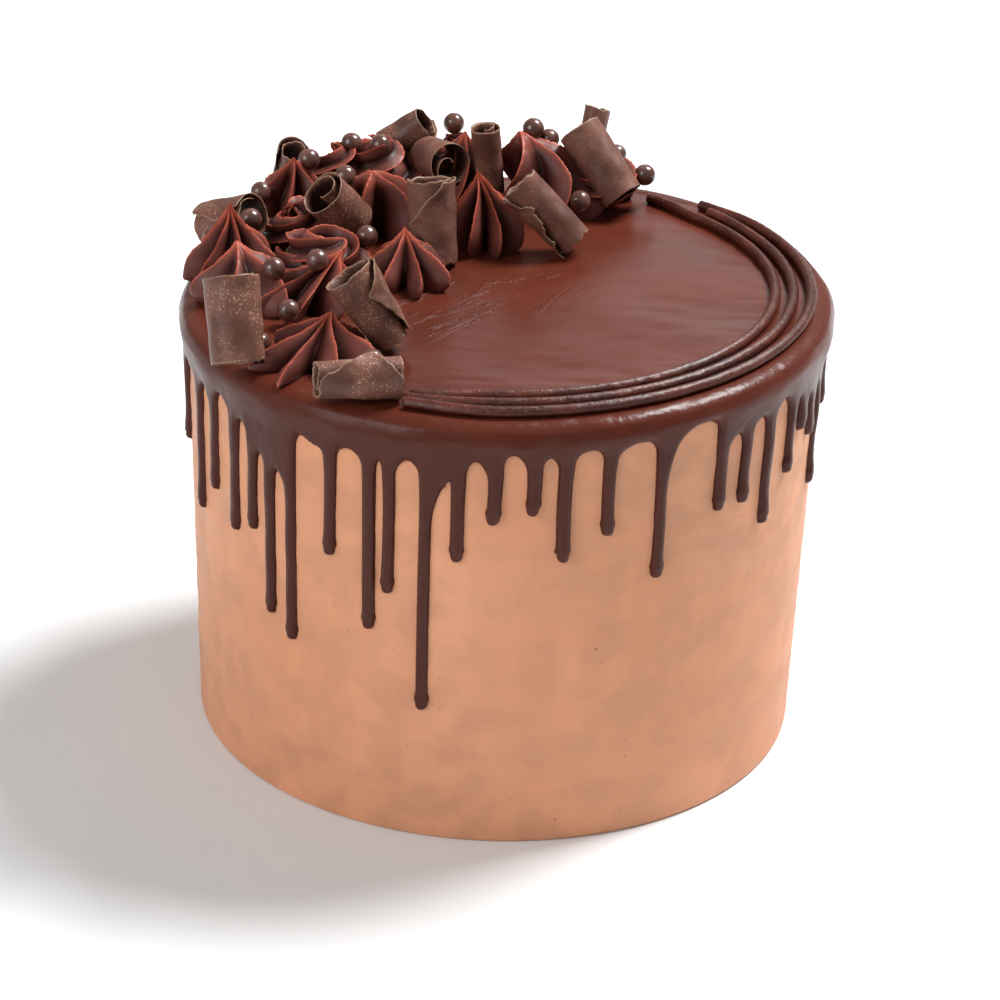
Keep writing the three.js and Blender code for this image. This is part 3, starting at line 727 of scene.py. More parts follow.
def sheet_distance(angle, z):
    """Distance outside (or, below zero, inside) the ganache's outline on the side, in millimetres,
    and how far a point lies in a drop at the end of a drip."""
    sizes = settings().ganache
    neck, bulb, web = sizes.neck / MM, sizes.bulb / MM, sizes.web / MM
    drips = all_drips()
    rng = np.random.default_rng(21)
    arch = np.full_like(angle, drips[-1][2])
    for i, drip in enumerate(drips):
        step = smooth((angle - drip[0]) / 2.4 + 0.5)
        arch = arch + (drip[2] - drips[i - 1][2]) * step
    edge = cake_height() - arch + 0.35 * waves(angle[..., None] * 1.4, 9, 8)
    skirt = edge - z
    nearest = np.full_like(z, 1e3)
    drop = np.zeros_like(z)
    for middle, tip, _, broad in drips:
        across = (angle - middle + 180) % 360 - 180
        across = np.radians(across) * side_radius(z)
        thin, sway, phase = neck * rng.uniform(0.9, 1.06), rng.uniform(-0.35, 0.35), rng.uniform(0, 6)
        round_end = bulb * rng.uniform(0.94, 1.05)
        fall = np.clip((edge - z) / np.maximum(edge - tip, 1), 0, 1)
        across = across - sway * np.sin(3 * fall + phase) * smooth(fall * 3)
        head = 0.7 * np.exp(-np.clip(edge - z, 0, None) / 3.5)
        wide = np.radians(broad) * side_radius(z) * np.clip(1 - (edge - z) / 17, 0, 1) ** 2
        side = np.maximum(across - wide, -across) - thin - head
        middle_of_drop = tip + DROP_RISE
        strip = np.maximum(side, middle_of_drop - z)
        ball = np.hypot(across, z - middle_of_drop) - round_end
        point = np.hypot(across, z - tip - 0.84 * round_end) - 0.84 * round_end
        nearest = np.minimum(nearest, joined(strip, joined(ball, point, 0.8), 0.8))
        drop = np.maximum(drop, np.exp(-((z - middle_of_drop) / DROP_RISE) ** 2) * (np.abs(across) < 4))
    return joined(skirt, nearest, web), drop


def thickness(outside, drop, over_arch):
    """Thickness of the ganache on the side from the distance to its outline."""
    sizes = settings().ganache
    depth = sizes.drip_depth / MM + 0.4 * drop
    rounding = 1.6 + 0.6 * smooth(over_arch / 7)
    depth = depth + (sizes.side / MM - depth) * smooth(over_arch / 7)
    inward = np.clip(-outside / rounding, 0, 1)
    return depth * np.sqrt(1 - (1 - inward) ** 2)


def sheet_columns():
    """Angles round the sheet, closest together across the drips."""
    fine = np.linspace(-180, 180, 7201)  # every 0.05 degrees
    wide = 0.95
    spacing = np.full_like(fine, wide)
    for middle, *_ in all_drips():
        across = np.radians(np.abs((fine - middle + 180) % 360 - 180)) * ROUND
        close = 0.36 if middle < 0 else 0.5
        spacing = np.minimum(spacing, close + (wide - close) * smooth((across - 2.4) / 2.5))
    passed = np.concatenate([[0], np.cumsum(np.radians(0.05) * ROUND / spacing[1:])])
    count = int(passed[-1] / 16) * 16
    return np.interp(np.arange(count) / count * passed[-1], passed, fine)


def fitted_to_outline(angle, z, below):
    """Grid points on the side with those next to the outline moved onto it, and the next ones in
    lined up behind them, so that it runs smoothly. Also each point's distance outside the outline."""
    outside, drop = sheet_distance(angle, z)
    nudge = 0.05
    turned = np.degrees(nudge / ROUND)
    slope_u = (sheet_distance(angle + turned, z)[0] - outside) / nudge
    slope_z = (sheet_distance(angle, z + nudge)[0] - outside) / nudge
    gap = np.radians(np.roll(angle, -1, 1) - np.roll(angle, 1, 1)) % (2 * np.pi) * ROUND / 2
    cell = np.maximum(np.abs(slope_u) * gap, np.abs(slope_z) * SHEET_STEP)
    low = z < below
    at_edge = (np.abs(outside) < 0.52 * cell) & low
    behind = (np.abs(outside + 1.1 * cell) < 0.4 * cell) & low & ~at_edge
    goal = np.where(at_edge, 0, -1.1 * cell)
    moved = at_edge | behind
    for _ in range(3):
        here, _ = sheet_distance(angle[moved], z[moved])
        slope_u = (sheet_distance(angle[moved] + turned, z[moved])[0] - here) / nudge
        slope_z = (sheet_distance(angle[moved], z[moved] + nudge)[0] - here) / nudge
        move = np.clip((goal[moved] - here) / np.maximum(slope_u ** 2 + slope_z ** 2, 0.3), -0.3, 0.3)
        angle[moved] += np.degrees(move * slope_u / ROUND)
        z[moved] += move * slope_z
    outside = np.where(moved, goal, outside)
    return outside, drop, at_edge


def coarse_back(full, rows, columns):
    """Faces of the hidden back: one for each block of four full cells, with the middle of a side put in
    wherever the next block isn't whole. Also which cells they stand for."""
    blocks_up, blocks_round = (rows - 1) // 2, columns // 2
    whole = full[:2 * blocks_up].reshape(blocks_up, 2, blocks_round, 2).all((1, 3))
    covered = np.zeros_like(full)
    covered[:2 * blocks_up] = whole.repeat(2, 0).repeat(2, 1)
    faces = []
    for i, j in np.argwhere(whole).tolist():
        r, c = 2 * i, 2 * j
        left, right = c, (c + 2) % columns
        open_below = i == 0 or not whole[i - 1, j]
        open_above = i == blocks_up - 1 or not whole[i + 1, j]
        open_left = not whole[i, j - 1]
        open_right = not whole[i, (j + 1) % blocks_round]
        face = [r * columns + left]
        face += [(r + 1) * columns + left] * open_left + [(r + 2) * columns + left]
        face += [(r + 2) * columns + c + 1] * open_above + [(r + 2) * columns + right]
        face += [(r + 1) * columns + right] * open_right + [r * columns + right]
        face += [r * columns + c + 1] * open_below
        faces.append(face)
    return faces, covered


def ganache_sheet():
    sizes = settings().ganache
    rim = sizes.rim / MM
    top = cake_height()
    under_top = top - sizes.top / MM - 0.25
    rim_radius = side_radius(top) + sizes.side / MM
    lowest = min(drip[1] for drip in all_drips()) - 2
    heights = np.arange(top - rim, lowest, -SHEET_STEP)[::-1]
    angle, z = np.meshgrid(sheet_columns(), heights)
    columns = angle.shape[1]
    outside, drop, at_edge = fitted_to_outline(angle, z, top - rim - 2)
    deep = thickness(outside, drop, z - (top - 12))
    spread = np.stack([ROUND * np.cos(np.radians(angle)), ROUND * np.sin(np.radians(angle)), z], -1)
    deep = deep * (1 + 0.06 * waves(spread, 11, 14))
    inside = np.where(at_edge, 0, np.sign(-outside))
    radius = side_radius(z) + deep

    turns = np.linspace(0, np.pi / 2, 10)[1:, None]
    rim_radii = rim_radius - rim * (1 - np.cos(turns)) + 0 * angle[:1]
    rim_z = top - rim + rim * np.sin(turns) + 0 * angle[:1]
    angle = np.concatenate([angle, np.repeat(angle[-1:], len(turns), 0)])
    radius = np.concatenate([radius, rim_radii])
    rim_inner = np.minimum(rim_radii - 2.0, side_radius(top) - SHEET_BACK)
    inner = np.concatenate([side_radius(z) - SHEET_BACK, rim_inner])
    inner_z = np.concatenate([z, np.minimum(rim_z, under_top)])
    z = np.concatenate([z, rim_z])
    rows = len(z)
    unit = np.stack([np.cos(np.radians(angle)), np.sin(np.radians(angle))], -1)
    waviness = 0.16 * waves(np.concatenate([80 * unit, z[..., None]], -1), 24, 6)
    radius = radius + waviness * smooth((z - (top - 11)) / 6)

    outer_points = [np.concatenate([radius[..., None] * unit, z[..., None]], -1).reshape(-1, 3)]
    inner_points = [np.concatenate([inner[..., None] * unit, inner_z[..., None]], -1).reshape(-1, 3)]
    inside = np.concatenate([inside, np.ones((len(turns), columns))]).ravel()
    quads = grid_faces(rows, columns)
    corners = inside[quads]
    kept = (corners > 0).any(1)
    beyond = corners.argmin(1)
    each = np.arange(len(quads))
    beside = corners[each, (beyond + 1) % 4] + corners[each, (beyond + 3) % 4]
    cut = kept & ((corners < 0).sum(1) == 1) & (beside == 0)
    triangles = quads[each[:, None], (beyond[:, None] + (1, 2, 3)) % 4][cut]
    full = kept & ~cut
    back_faces, covered = coarse_back(full.reshape(rows - 1, columns), rows, columns)
    faces = [quads[full], triangles]
    backs = [quads[full & ~covered.ravel()], triangles]

    # The top: rings towards the middle, with half as many columns after each of the marked ones.
    count, start, first = columns, (rows - 1) * columns, rows * columns
    flat = rim_radius - rim
    turned = np.radians(sheet_columns())
    reaches = (np.arange(flat - 1, 40, -1.15), np.arange(40, 20, -1.6), np.arange(20, 1, -2))
    for reach in np.concatenate(reaches):
        halve = count * 1.6 > 2 * np.pi * reach and count > 30 and count % 2 == 0
        fresh = count // 2 if halve else count
        turned = turned[::2] if halve else turned
        ring = np.stack([reach * np.cos(turned), reach * np.sin(turned), np.full(fresh, top)], -1)
        outer_points.append(ring)
        inner_points.append(ring * (1, 1, 0) + (0, 0, under_top))
        c = np.arange(fresh)
        n = (c + 1) % fresh
        if halve:
            a, b, d = start + 2 * c, start + 2 * c + 1, start + (2 * c + 2) % count
            corners = ([a, b, first + c], [b, first + n, first + c], [b, d, first + n])
            ring_faces = [np.stack(three, -1) for three in corners]
        else:
            ring_faces = [np.stack([start + c, start + n, first + n, first + c], -1)]
        faces += ring_faces
        backs += ring_faces
        count, start, first = fresh, first, first + fresh
    outer_points.append(np.array([[0, 0, top]]))
    inner_points.append(np.array([[0, 0, under_top]]))
    c = np.arange(count)
    middle_fan = np.stack([start + c, start + (c + 1) % count, np.full(count, first)], -1)
    faces.append(middle_fan)
    backs.append(middle_fan)

    outer, under = np.concatenate(outer_points), np.concatenate(inner_points)
    on_top = smooth((rim_radius - 4 - np.hypot(outer[:, 0], outer[:, 1])) / 6) * (outer[:, 2] > top - rim)
    outer[:, 2] += on_top * (0.13 * waves(outer, 32, 11) + 0.05 * waves(outer * (1, 2.5, 1), 12, 12))
    size = len(outer)
    backs = [face[:, ::-1] + size for face in backs]
    edges = np.concatenate([np.stack([face, np.roll(face, -1, 1)], -1).reshape(-1, 2) for face in faces])
    key, back_key = edges[:, 0] * size + edges[:, 1], edges[:, 1] * size + edges[:, 0]
    border = edges[~np.isin(key, back_key)]
    walls = np.stack([border[:, 1], border[:, 0], border[:, 0] + size, border[:, 1] + size], -1)
    points = np.concatenate([outer, under])
    points[:, 2] = settled(points[:, 0], points[:, 1], points[:, 2])
    back_faces = [np.array([face]) + size for face in back_faces]
    faces = faces + backs + [walls] + back_faces
    used = np.unique(np.concatenate([face.ravel() for face in faces]))
    renumber = np.zeros(len(points), int)
    renumber[used] = np.arange(len(used))
    return solid("ganache_sheet", points[used], [renumber[face] for face in faces], finish("ganache"))


# ---- piped lines ---------------------------------------------------------------------------------


def roughened(tree, geometry, height, amount):
    """Geometry moved in and out along its normals by a height from 0 to 1."""
    normal = tree.nodes.new("GeometryNodeInputNormal").outputs[0]
    lift = product(tree, sums(tree, "SUBTRACT", height, 0.5), amount)
    return add_node(tree, "GeometryNodeSetPosition", {
        "Geometry": geometry.outputs[0], "Offset": vectors(tree, "SCALE", normal, Scale=lift),
    })


def finish_mesh(tree, geometry, given, out):
    """The end of a tree: instances made real, with the material set."""
    real = add_node(tree, "GeometryNodeRealizeInstances", {0: geometry.outputs[0]})
    done = add_node(tree, "GeometryNodeSetMaterial", {
        "Geometry": real.outputs[0], "Material": given.outputs["Material"],
    })
    tree.links.new(done.outputs[0], out.inputs[0])


def line_tree():
    """Geometry nodes that pipe a ridged, grainy rope along a curve and draw it out at its ends."""
    name = "Piped Line"
    if name in bpy.data.node_groups:
        return bpy.data.node_groups[name]
    tree, given, out = node_group("GeometryNodeTree", name, {
        "Geometry": ("NodeSocketGeometry", None), "Radius": (FLOAT, 0.00135), "Ridges": (FLOAT, 6.0),
        "Ridge Depth": (FLOAT, 0.1), "Grain": (FLOAT, 0.0002), "Seed": (FLOAT, 0.0),
        "Material": ("NodeSocketMaterial", None),
    }, {"Geometry": "NodeSocketGeometry"})
    curve = add_node(tree, "GeometryNodeResampleCurve", {
        "Curve": given.outputs["Geometry"], "Length": 0.00045,
    }, mode="LENGTH")
    along = tree.nodes.new("GeometryNodeSplineParameter").outputs["Factor"]
    from_end = sums(tree, "MINIMUM", along, sums(tree, "SUBTRACT", 1.0, along))
    drawn = sums(tree, "POWER", stretch(tree, from_end, 0.0, 0.012, 0.1, 1.0), 0.6)
    tapered = add_node(tree, "GeometryNodeSetCurveRadius", {"Curve": curve.outputs[0], "Radius": drawn})
    circle = add_node(tree, "GeometryNodeCurvePrimitiveCircle", {
        "Resolution": 26, "Radius": given.outputs["Radius"],
    })
    place = tree.nodes.new("GeometryNodeInputPosition").outputs[0]
    parts = add_node(tree, "ShaderNodeSeparateXYZ", {0: place})
    turn = product(tree, sums(tree, "ARCTAN2", parts.outputs[1], parts.outputs[0]), given.outputs["Ridges"])
    ridge = product(tree, sums(tree, "COSINE", turn), given.outputs["Ridge Depth"])
    section = add_node(tree, "GeometryNodeSetPosition", {
        "Geometry": circle.outputs[0],
        "Position": vectors(tree, "SCALE", place, Scale=sums(tree, "ADD", ridge, 1.0)),
    })
    rope = add_node(tree, "GeometryNodeCurveToMesh", {
        "Curve": tapered.outputs[0], "Profile Curve": section.outputs[0], "Fill Caps": True,
    })
    shifted = vectors(tree, "ADD", place, given.outputs["Seed"])
    grain = noise(tree, shifted, 520.0, 4.0, Roughness=0.65)
    lift = product(tree, given.outputs["Grain"], 4.0)
    finish_mesh(tree, roughened(tree, rope, grain, lift), given, out)
    return tree


def grown(name, source, tree, values, material):
    """The plain mesh that a geometry nodes tree makes of a source object, as a new object."""
    bpy.context.scene.collection.objects.link(source)
    modifier = source.modifiers.new("grow", "NODES")
    modifier.node_group = tree
    sockets = [item for item in tree.interface.items_tree if item.in_out == "INPUT"]
    identifiers = {item.name: item.identifier for item in sockets}
    for key, value in {**values, "Material": material}.items():
        modifier[identifiers[key]] = value
    graph = bpy.context.evaluated_depsgraph_get()
    mesh = bpy.data.meshes.new_from_object(source.evaluated_get(graph), depsgraph=graph)
    mesh.name = name
    source.modifiers.remove(modifier)
    bpy.data.objects.remove(source)
    return as_object(name, mesh, material)


def line_source(name, radius, end_radius, start, stop):
    angle = np.linspace(start, stop, 160)
    from_end = np.minimum(angle - start, stop - angle)
    reach = end_radius + (radius - end_radius) * smooth(from_end / LINE_CLOSING)
    turn = np.radians(angle)
    x, y = reach * np.cos(turn), reach * np.sin(turn)
    z = settled(x, y, cake_height()) + settings().cream.line_radius / MM
    curve = bpy.data.curves.new(name, "CURVE")
    curve.dimensions = "3D"
    spline = curve.splines.new("POLY")
    spline.points.add(len(angle) - 1)
    points = np.stack([x * MM, y * MM, z * MM, np.ones_like(x)], -1)
    spline.points.foreach_set("co", points.ravel())
    return bpy.data.objects.new(name, curve)


# ---- rosettes ------------------------------------------------------------------------------------


def in_roll(points, curl):
    """Which points lie inside a curl's outer face."""
    middle, axis, long, head, foot, wraps, turn, _, _, _, _ = curl
    matrix = roll_matrix(middle, axis, turn)
    local = (points - np.array(matrix.translation)) @ np.array(matrix.to_3x3())
    angle = np.arctan2(local[:, 1], local[:, 0])
    wrapped = 2 * np.pi * wraps
    back = (wrapped - angle) % (2 * np.pi)
    outer = foot + (head - foot) * np.clip(local[:, 2] / long + 0.5, 0, 1)
    reach = outer - settings().curls.pitch / MM * back / (2 * np.pi) - 0.35
    return (np.hypot(local[:, 0], local[:, 1]) < reach) & (np.abs(local[:, 2]) < long / 2 + 0.1)


def pressed(points):
    """Cream pushed down where a curl or a pearl presses into it, and never below the ganache."""
    radius = settings().pearls.radius / MM - 0.15
    for middle in pearl_middles():
        flat = np.hypot(points[:, 0] - middle[0], points[:, 1] - middle[1])
        inside = np.linalg.norm(points - middle, axis=1) < radius
        lower = middle[2] - np.sqrt(np.clip(radius ** 2 - flat ** 2, 0, None))
        points[inside, 2] = lower[inside]
    for curl in CURLS:
        inside = in_roll(points, curl)
        while inside.any():
            points[inside, 2] -= 0.25
            inside[inside] = in_roll(points[inside], curl)
    points[:, 2] = np.maximum(points[:, 2], top_at(points[:, 0], points[:, 1]) - 0.6)
    return points


def ridge_columns(ridges, per_ridge, rng):
    """Angles round a piped star, gathered at its ridges, how far each lies down in a valley, how far
    its ridge reaches, and its angle from that ridge."""
    step = np.linspace(-1, 1, per_ridge, endpoint=False)
    offset = np.sign(step) * np.abs(step) ** 1.7 * np.pi / ridges
    shift = rng.uniform(-0.09, 0.09, ridges)
    angle = (2 * np.pi * np.arange(ridges) / ridges + shift)[:, None] + offset
    valley = np.abs(np.sin(ridges * offset / 2))
    reach = np.repeat(rng.uniform(0.88, 1.06, ridges), per_ridge)
    return angle.ravel(), np.tile(valley, ridges), reach, np.tile(offset, ridges)


def star_rosette(star, seed):
    _, x, y, radius, height, lean, twist, turn, ridges, dome = star
    rng = np.random.default_rng(seed)
    angle, valley, long, offset = ridge_columns(ridges, 154 // ridges, rng)
    up = np.linspace(0, 1, 64)
    knots = np.linspace(0, 1, len(STAR_CREST))
    reach = np.interp(up, knots, STAR_CREST[:, 0])[:, None]
    rise = np.interp(up, knots, STAR_CREST[:, 1])[:, None]
    domed = 0.21 + 0.79 * np.sqrt(1 - np.clip(reach, 0, 1) ** 2)
    rise = np.where(np.arange(len(up))[:, None] > reach.argmax(), rise + dome * (domed - rise), rise)
    for _ in range(3):
        reach[1:-1] = (reach[:-2] + 2 * reach[1:-1] + reach[2:]) / 4
        rise[1:-1] = (rise[:-2] + 2 * rise[1:-1] + rise[2:]) / 4
    sharp = settings().cream.sharpness
    valley = valley ** (sharp + 0.9 * (1 - smooth((rise - 0.15) / 0.4)))
    depth = settings().cream.valley * (1 - 0.3 * smooth((rise - 0.7) / 0.3))
    out = radius * reach * (1 + (long - 1) * smooth(1.4 - 2 * rise)) * (1 - depth * valley)
    bearing = angle + turn + twist * rise
    lag = np.clip(rise, 0, 1) ** 2
    px = x + lean[0] * lag + out * np.cos(bearing)
    py = y + lean[1] * lag + out * np.sin(bearing)
    rings = np.stack([px, py, height * rise + 0 * px], -1)
    crest = np.exp(-(offset * out / 0.24) ** 2) + 0 * px
    nicks = waves(rings, 1.3, seed + 50) * crest * 0.07 + 0.12 * waves(rings, 7, seed + 90)
    rings[..., 0] += nicks * np.cos(bearing)
    rings[..., 1] += nicks * np.sin(bearing)
    rings[..., 2] += nicks * 0.8 * smooth(rise * 8)
    rings[..., 2] += top_at(rings[..., 0], rings[..., 1])
    points, faces = lofted(rings)
    # The crest mark places painted light (the glow through thin crests, and towards the peak); the deep mark
    # places painted shade in the valleys.
    marks = {
        "crest": with_caps(np.clip(crest * smooth(rise / 0.3) + 0.4 * smooth((rise - 0.7) / 0.3), 0, 1)),
        "deep": with_caps(smooth((valley - 0.33) / 0.6) * smooth((1.02 - rise) / 0.3)),
    }
    return pressed(points), faces, marks


def swirl_rosette(swirl, seed):
    _, x, y, radius, height, lean, turns, begin, rope, fullness = swirl
    rng = np.random.default_rng(seed)
    around, valley, long, offset = ridge_columns(settings().cream.ridges, 16, rng)
    along = np.linspace(0, 1, 210)[:, None]
    angle = begin + 2 * np.pi * turns * along
    spread = (radius - rope) * (1 - along ** fullness) ** 0.75
    middle_x = x + lean[0] * along ** 3 + spread * np.cos(angle)
    middle_y = y + lean[1] * along ** 3 + spread * np.sin(angle)
    middle_z = rope * 0.75 + (height - rope * 0.75) * along ** 1.25
    path = np.concatenate([middle_x, middle_y, middle_z], 1)
    ahead = np.gradient(path, axis=0)
    ahead /= np.linalg.norm(ahead, axis=1)[:, None]
    inward = np.cross(np.array([0, 0, 1.0]), ahead)
    inward /= np.linalg.norm(inward, axis=1)[:, None]
    above = np.cross(ahead, inward)
    drawn = np.clip(along / 0.05, 0.02, 1) ** 0.5 * (1 - 0.15 * along)
    drawn = drawn * (1 - smooth((along - 0.72) / 0.28) * 0.985)
    wound = around + 0.3 * (angle - begin)
    valley = valley ** settings().cream.sharpness
    size = rope * drawn * (1 - settings().cream.rope_valley * valley) * (1 + (long - 1) * 0.7)
    rings = (
        path[:, None, :]
        + (size * np.cos(wound))[..., None] * -inward[:, None, :]
        + (size * np.sin(wound))[..., None] * above[:, None, :]
    )
    crest = np.exp(-(offset * size / 0.22) ** 2)
    nicks = waves(rings, 1.3, seed + 50) * crest * 0.08 + 0.12 * waves(rings, 6, seed + 90)
    rings[..., 2] += nicks
    rings[..., 2] += top_at(rings[..., 0], rings[..., 1])
    points, faces = lofted(rings)
    # The crest mark places painted light at the thin crests; the deep mark places painted shade in the
    # valleys.
    deep = smooth((valley - 0.45) / 0.55) + 0 * size
    return pressed(points), faces, {"crest": with_caps(crest), "deep": with_caps(deep)}


# ---- curls ---------------------------------------------------------------------------------------


def roll_matrix(middle, axis, turn):
    x, y, over = middle
    spin = Vector((0, 0, 1)).rotation_difference(Vector(axis)).to_matrix() @ Matrix.Rotation(turn, 3, "Z")
    return Matrix.Translation((x, y, float(settled(x, y, cake_height())) + over)) @ spin.to_4x4()


def rolled_curl(curl, seed, dusty):
    """A sheet rolled round its wraps, with broken ends, a flap that comes to a point and a scroll."""
    middle, axis, long, head, foot, wraps, turn, flap, point, scroll, ragged = curl
    sizes = settings().curls
    pitch, wall, torn = sizes.pitch / MM, sizes.wall / MM, sizes.ragged / MM * ragged
    wrapped = 2 * np.pi * wraps
    rows = 46
    columns = int(60 * (wraps + scroll + flap / 6)) + 1
    v = np.linspace(0, 1, rows)[:, None]
    towards_point = np.where(v < point, v / point, (1 - v) / (1 - point))
    reach = flap * (0.1 + 0.9 * towards_point)
    broken = 0.05 * waves(v * long, 5, seed + 3) + 0.025 * waves(v * long, 1.6, seed + 4)
    first = -2 * np.pi * scroll + 0 * v
    last = wrapped + reach + broken[:, None] * ragged
    share_round = np.linspace(0, 1, columns)
    angle = first + (last - first) * share_round
    place = np.stack([np.cos(angle), np.sin(angle), angle * 0.3], -1) * 5
    low = torn * (0.5 + 0.35 * waves(place, 14, seed + 5) + 0.2 * waves(place, 3, seed + 6))
    high = torn * (0.5 + 0.35 * waves(place, 14, seed + 7) + 0.2 * waves(place, 3, seed + 8))
    low, high = np.clip(low, 0, None), np.clip(high, 0, None)
    z = low + (long - low - high) * v - long / 2
    outer = foot + (head - foot) * np.clip(z / long + 0.5, 0, 1)
    spiral = outer - pitch * (wrapped - np.maximum(angle, 0)) / (2 * np.pi)
    tight = np.clip(-angle / (2 * np.pi * max(scroll, 0.01)), 0, 1)
    spiral = spiral - (outer * 0.62) * smooth(tight) ** 0.8
    lifted = 0.45 * smooth((angle - (last - 0.5)) / 0.5) * (flap > 0)
    spiral = spiral + lifted + 0.08 * waves(np.stack([angle * 5, z], -1), 7, seed + 9)
    round_mm = np.minimum(angle - first, last - angle) * outer
    end_mm = np.minimum(z - z[:1], z[-1:] - z)
    border = np.minimum(round_mm, end_mm)
    thin = wall * (0.45 + 0.55 * smooth(border / 0.7))
    outside = np.stack([spiral * np.cos(angle), spiral * np.sin(angle), z], -1)
    inside = np.stack([(spiral - thin) * np.cos(angle), (spiral - thin) * np.sin(angle), z], -1)
    band = np.concatenate([outside, inside[:, ::-1]], 1)
    count = 2 * columns
    faces = [grid_faces(rows, count)]
    c = np.arange(columns - 1)
    far = count - 1 - c
    last_row = (rows - 1) * count
    faces += [
        np.stack([c, far, far - 1, c + 1], -1),
        np.stack([last_row + c, last_row + c + 1, last_row + far - 1, last_row + far], -1),
    ]
    edge = np.exp(-np.clip(border, 0, None) / 0.12)
    matrix = roll_matrix(middle, axis, turn)
    points = band.reshape(-1, 3) @ np.array(matrix.to_3x3()).T + np.array(matrix.translation)
    edges = np.concatenate([edge, edge[:, ::-1]], 1)
    # Painted shade: the inner mark is zero on the outer face and rises on the inner face away from the open
    # ends, to darken the hollow.
    deep = smooth(end_mm / 2.5) + 0 * angle
    inner = np.concatenate([0 * deep, deep[:, ::-1]], 1)
    return points, faces, {"edge": edges, "inner": inner, "dust": np.full_like(edges, dusty)}


# ---- pearls --------------------------------------------------------------------------------------


def pearl_nodes():
    return [f"pearl_{i + 1:02d}" for i in range(PEARL_COUNT)]


def pearl_middles():
    boxes = [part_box(node) for node in pearl_nodes()]
    return [(np.array(low) + np.array(high)) / 2 / MM for low, high in boxes]


PRESSED_BY = 0.2  # how far a pearl presses into what it comes to rest on


def resting_middles():
    """Where the pearls come to rest: each moves down and towards what is nearest until it touches."""
    radius = settings().pearls.radius / MM
    kinds = ("star_", "swirl_", "rolled_curl_", "ganache_sheet", "piped_line_")
    carriers = []
    for piece in bpy.data.objects:
        if piece.type == "MESH" and piece.name.startswith(kinds):
            points = [point.co / MM for point in piece.data.vertices]
            carriers.append(BVHTree.FromPolygons(points, [face.vertices[:] for face in piece.data.polygons]))
    middles = []
    for middle in pearl_middles():
        place = Vector(middle)
        for _ in range(60):
            near = min((carrier.find_nearest(place) for carrier in carriers), key=lambda found: found[3])
            gap = near[3] - radius
            if gap < -PRESSED_BY / 2:
                break
            towards = ((near[0] - place).normalized() + Vector((0, 0, -0.6))).normalized()
            place += towards * min(gap + PRESSED_BY, 2 * PRESSED_BY)
        middles.append(place)
    return middles


def pearl_tree():
    """Geometry nodes that put a slightly uneven ball on each point, with its own size."""
    name = "Pearls On Points"
    tree, given, out = node_group("GeometryNodeTree", name, {
        "Geometry": ("NodeSocketGeometry", None), "Radius": (FLOAT, 0.0029), "Variation": (FLOAT, 0.03),
        "Unevenness": (FLOAT, 0.00012), "Seed": ("NodeSocketInt", 4),
        "Material": ("NodeSocketMaterial", None),
    }, {"Geometry": "NodeSocketGeometry"})
    ball = add_node(tree, "GeometryNodeMeshIcoSphere", {"Radius": given.outputs["Radius"], "Subdivisions": 5})
    spread = add_node(tree, "FunctionNodeRandomValue", {
        2: sums(tree, "SUBTRACT", 1.0, given.outputs["Variation"]),
        3: sums(tree, "ADD", 1.0, given.outputs["Variation"]), "Seed": given.outputs["Seed"],
    }, data_type="FLOAT")
    placed = add_node(tree, "GeometryNodeInstanceOnPoints", {
        "Points": given.outputs["Geometry"], "Instance": ball.outputs[0], "Scale": spread.outputs[1],
    })
    real = add_node(tree, "GeometryNodeRealizeInstances", {0: placed.outputs[0]})
    place = tree.nodes.new("GeometryNodeInputPosition").outputs[0]
    dents = noise(tree, place, 320.0, 2.0)
    finish_mesh(tree, roughened(tree, real, dents, given.outputs["Unevenness"]), given, out)
    return tree


# ---- operators -----------------------------------------------------------------------------------


class CAKE_OT_ice_body(bpy.types.Operator):
    """Ice the cake's body with smoothed buttercream"""
    bl_idname = "cake.ice_body"
    bl_label = "Ice the body"

    def execute(self, context):
        put_on_cake(iced_body(), "buttercream", "frosted_cake")
        return {"FINISHED"}


class CAKE_OT_pour_ganache(bpy.types.Operator):
    """Pour the ganache over the top, with its drips down the side"""
    bl_idname = "cake.pour_ganache"
    bl_label = "Pour the ganache"

    def execute(self, context):
        put_on_cake(ganache_sheet(), "ganache", "ganache_drip")
        return {"FINISHED"}


class CAKE_OT_pipe_lines(bpy.types.Operator):
    """Pipe the three lines round the right and the front of the top"""
    bl_idname = "cake.pipe_lines"
    bl_label = "Pipe the lines"

    def execute(self, context):
        cream = settings().cream
        for seed, (node, line) in enumerate(PIPED_LINES.items()):
            values = {
                "Radius": cream.line_radius, "Ridges": 4.0, "Ridge Depth": 0.03,
                "Grain": cream.line_grain, "Seed": float(seed),
            }
            source = line_source(f"{node}_path", *line)
            rope = grown(f"{node}_rope", source, line_tree(), values, finish("piped_line_cream"))
            put_on_cake(rope, "piped_cream", node)
        return {"FINISHED"}


class CAKE_OT_pipe_stars(bpy.types.Operator):
    """Pipe the star rosettes, drawn up to a peak"""
    bl_idname = "cake.pipe_stars"
    bl_label = "Pipe the star rosettes"

    def execute(self, context):
        for seed, star in enumerate(STARS):
            put_solid(f"star_{star[0]}", star_rosette(star, seed + 1), "piped_cream", star[0])
        return {"FINISHED"}


class CAKE_OT_pipe_swirls(bpy.types.Operator):
    """Pipe the wound rosettes, each a ridged rope that spirals up"""
    bl_idname = "cake.pipe_swirls"
    bl_label = "Pipe the wound rosettes"

    def execute(self, context):
        for seed, swirl in enumerate(SWIRLS):
            put_solid(f"swirl_{swirl[0]}", swirl_rosette(swirl, seed + 31), "piped_cream", swirl[0])
        return {"FINISHED"}


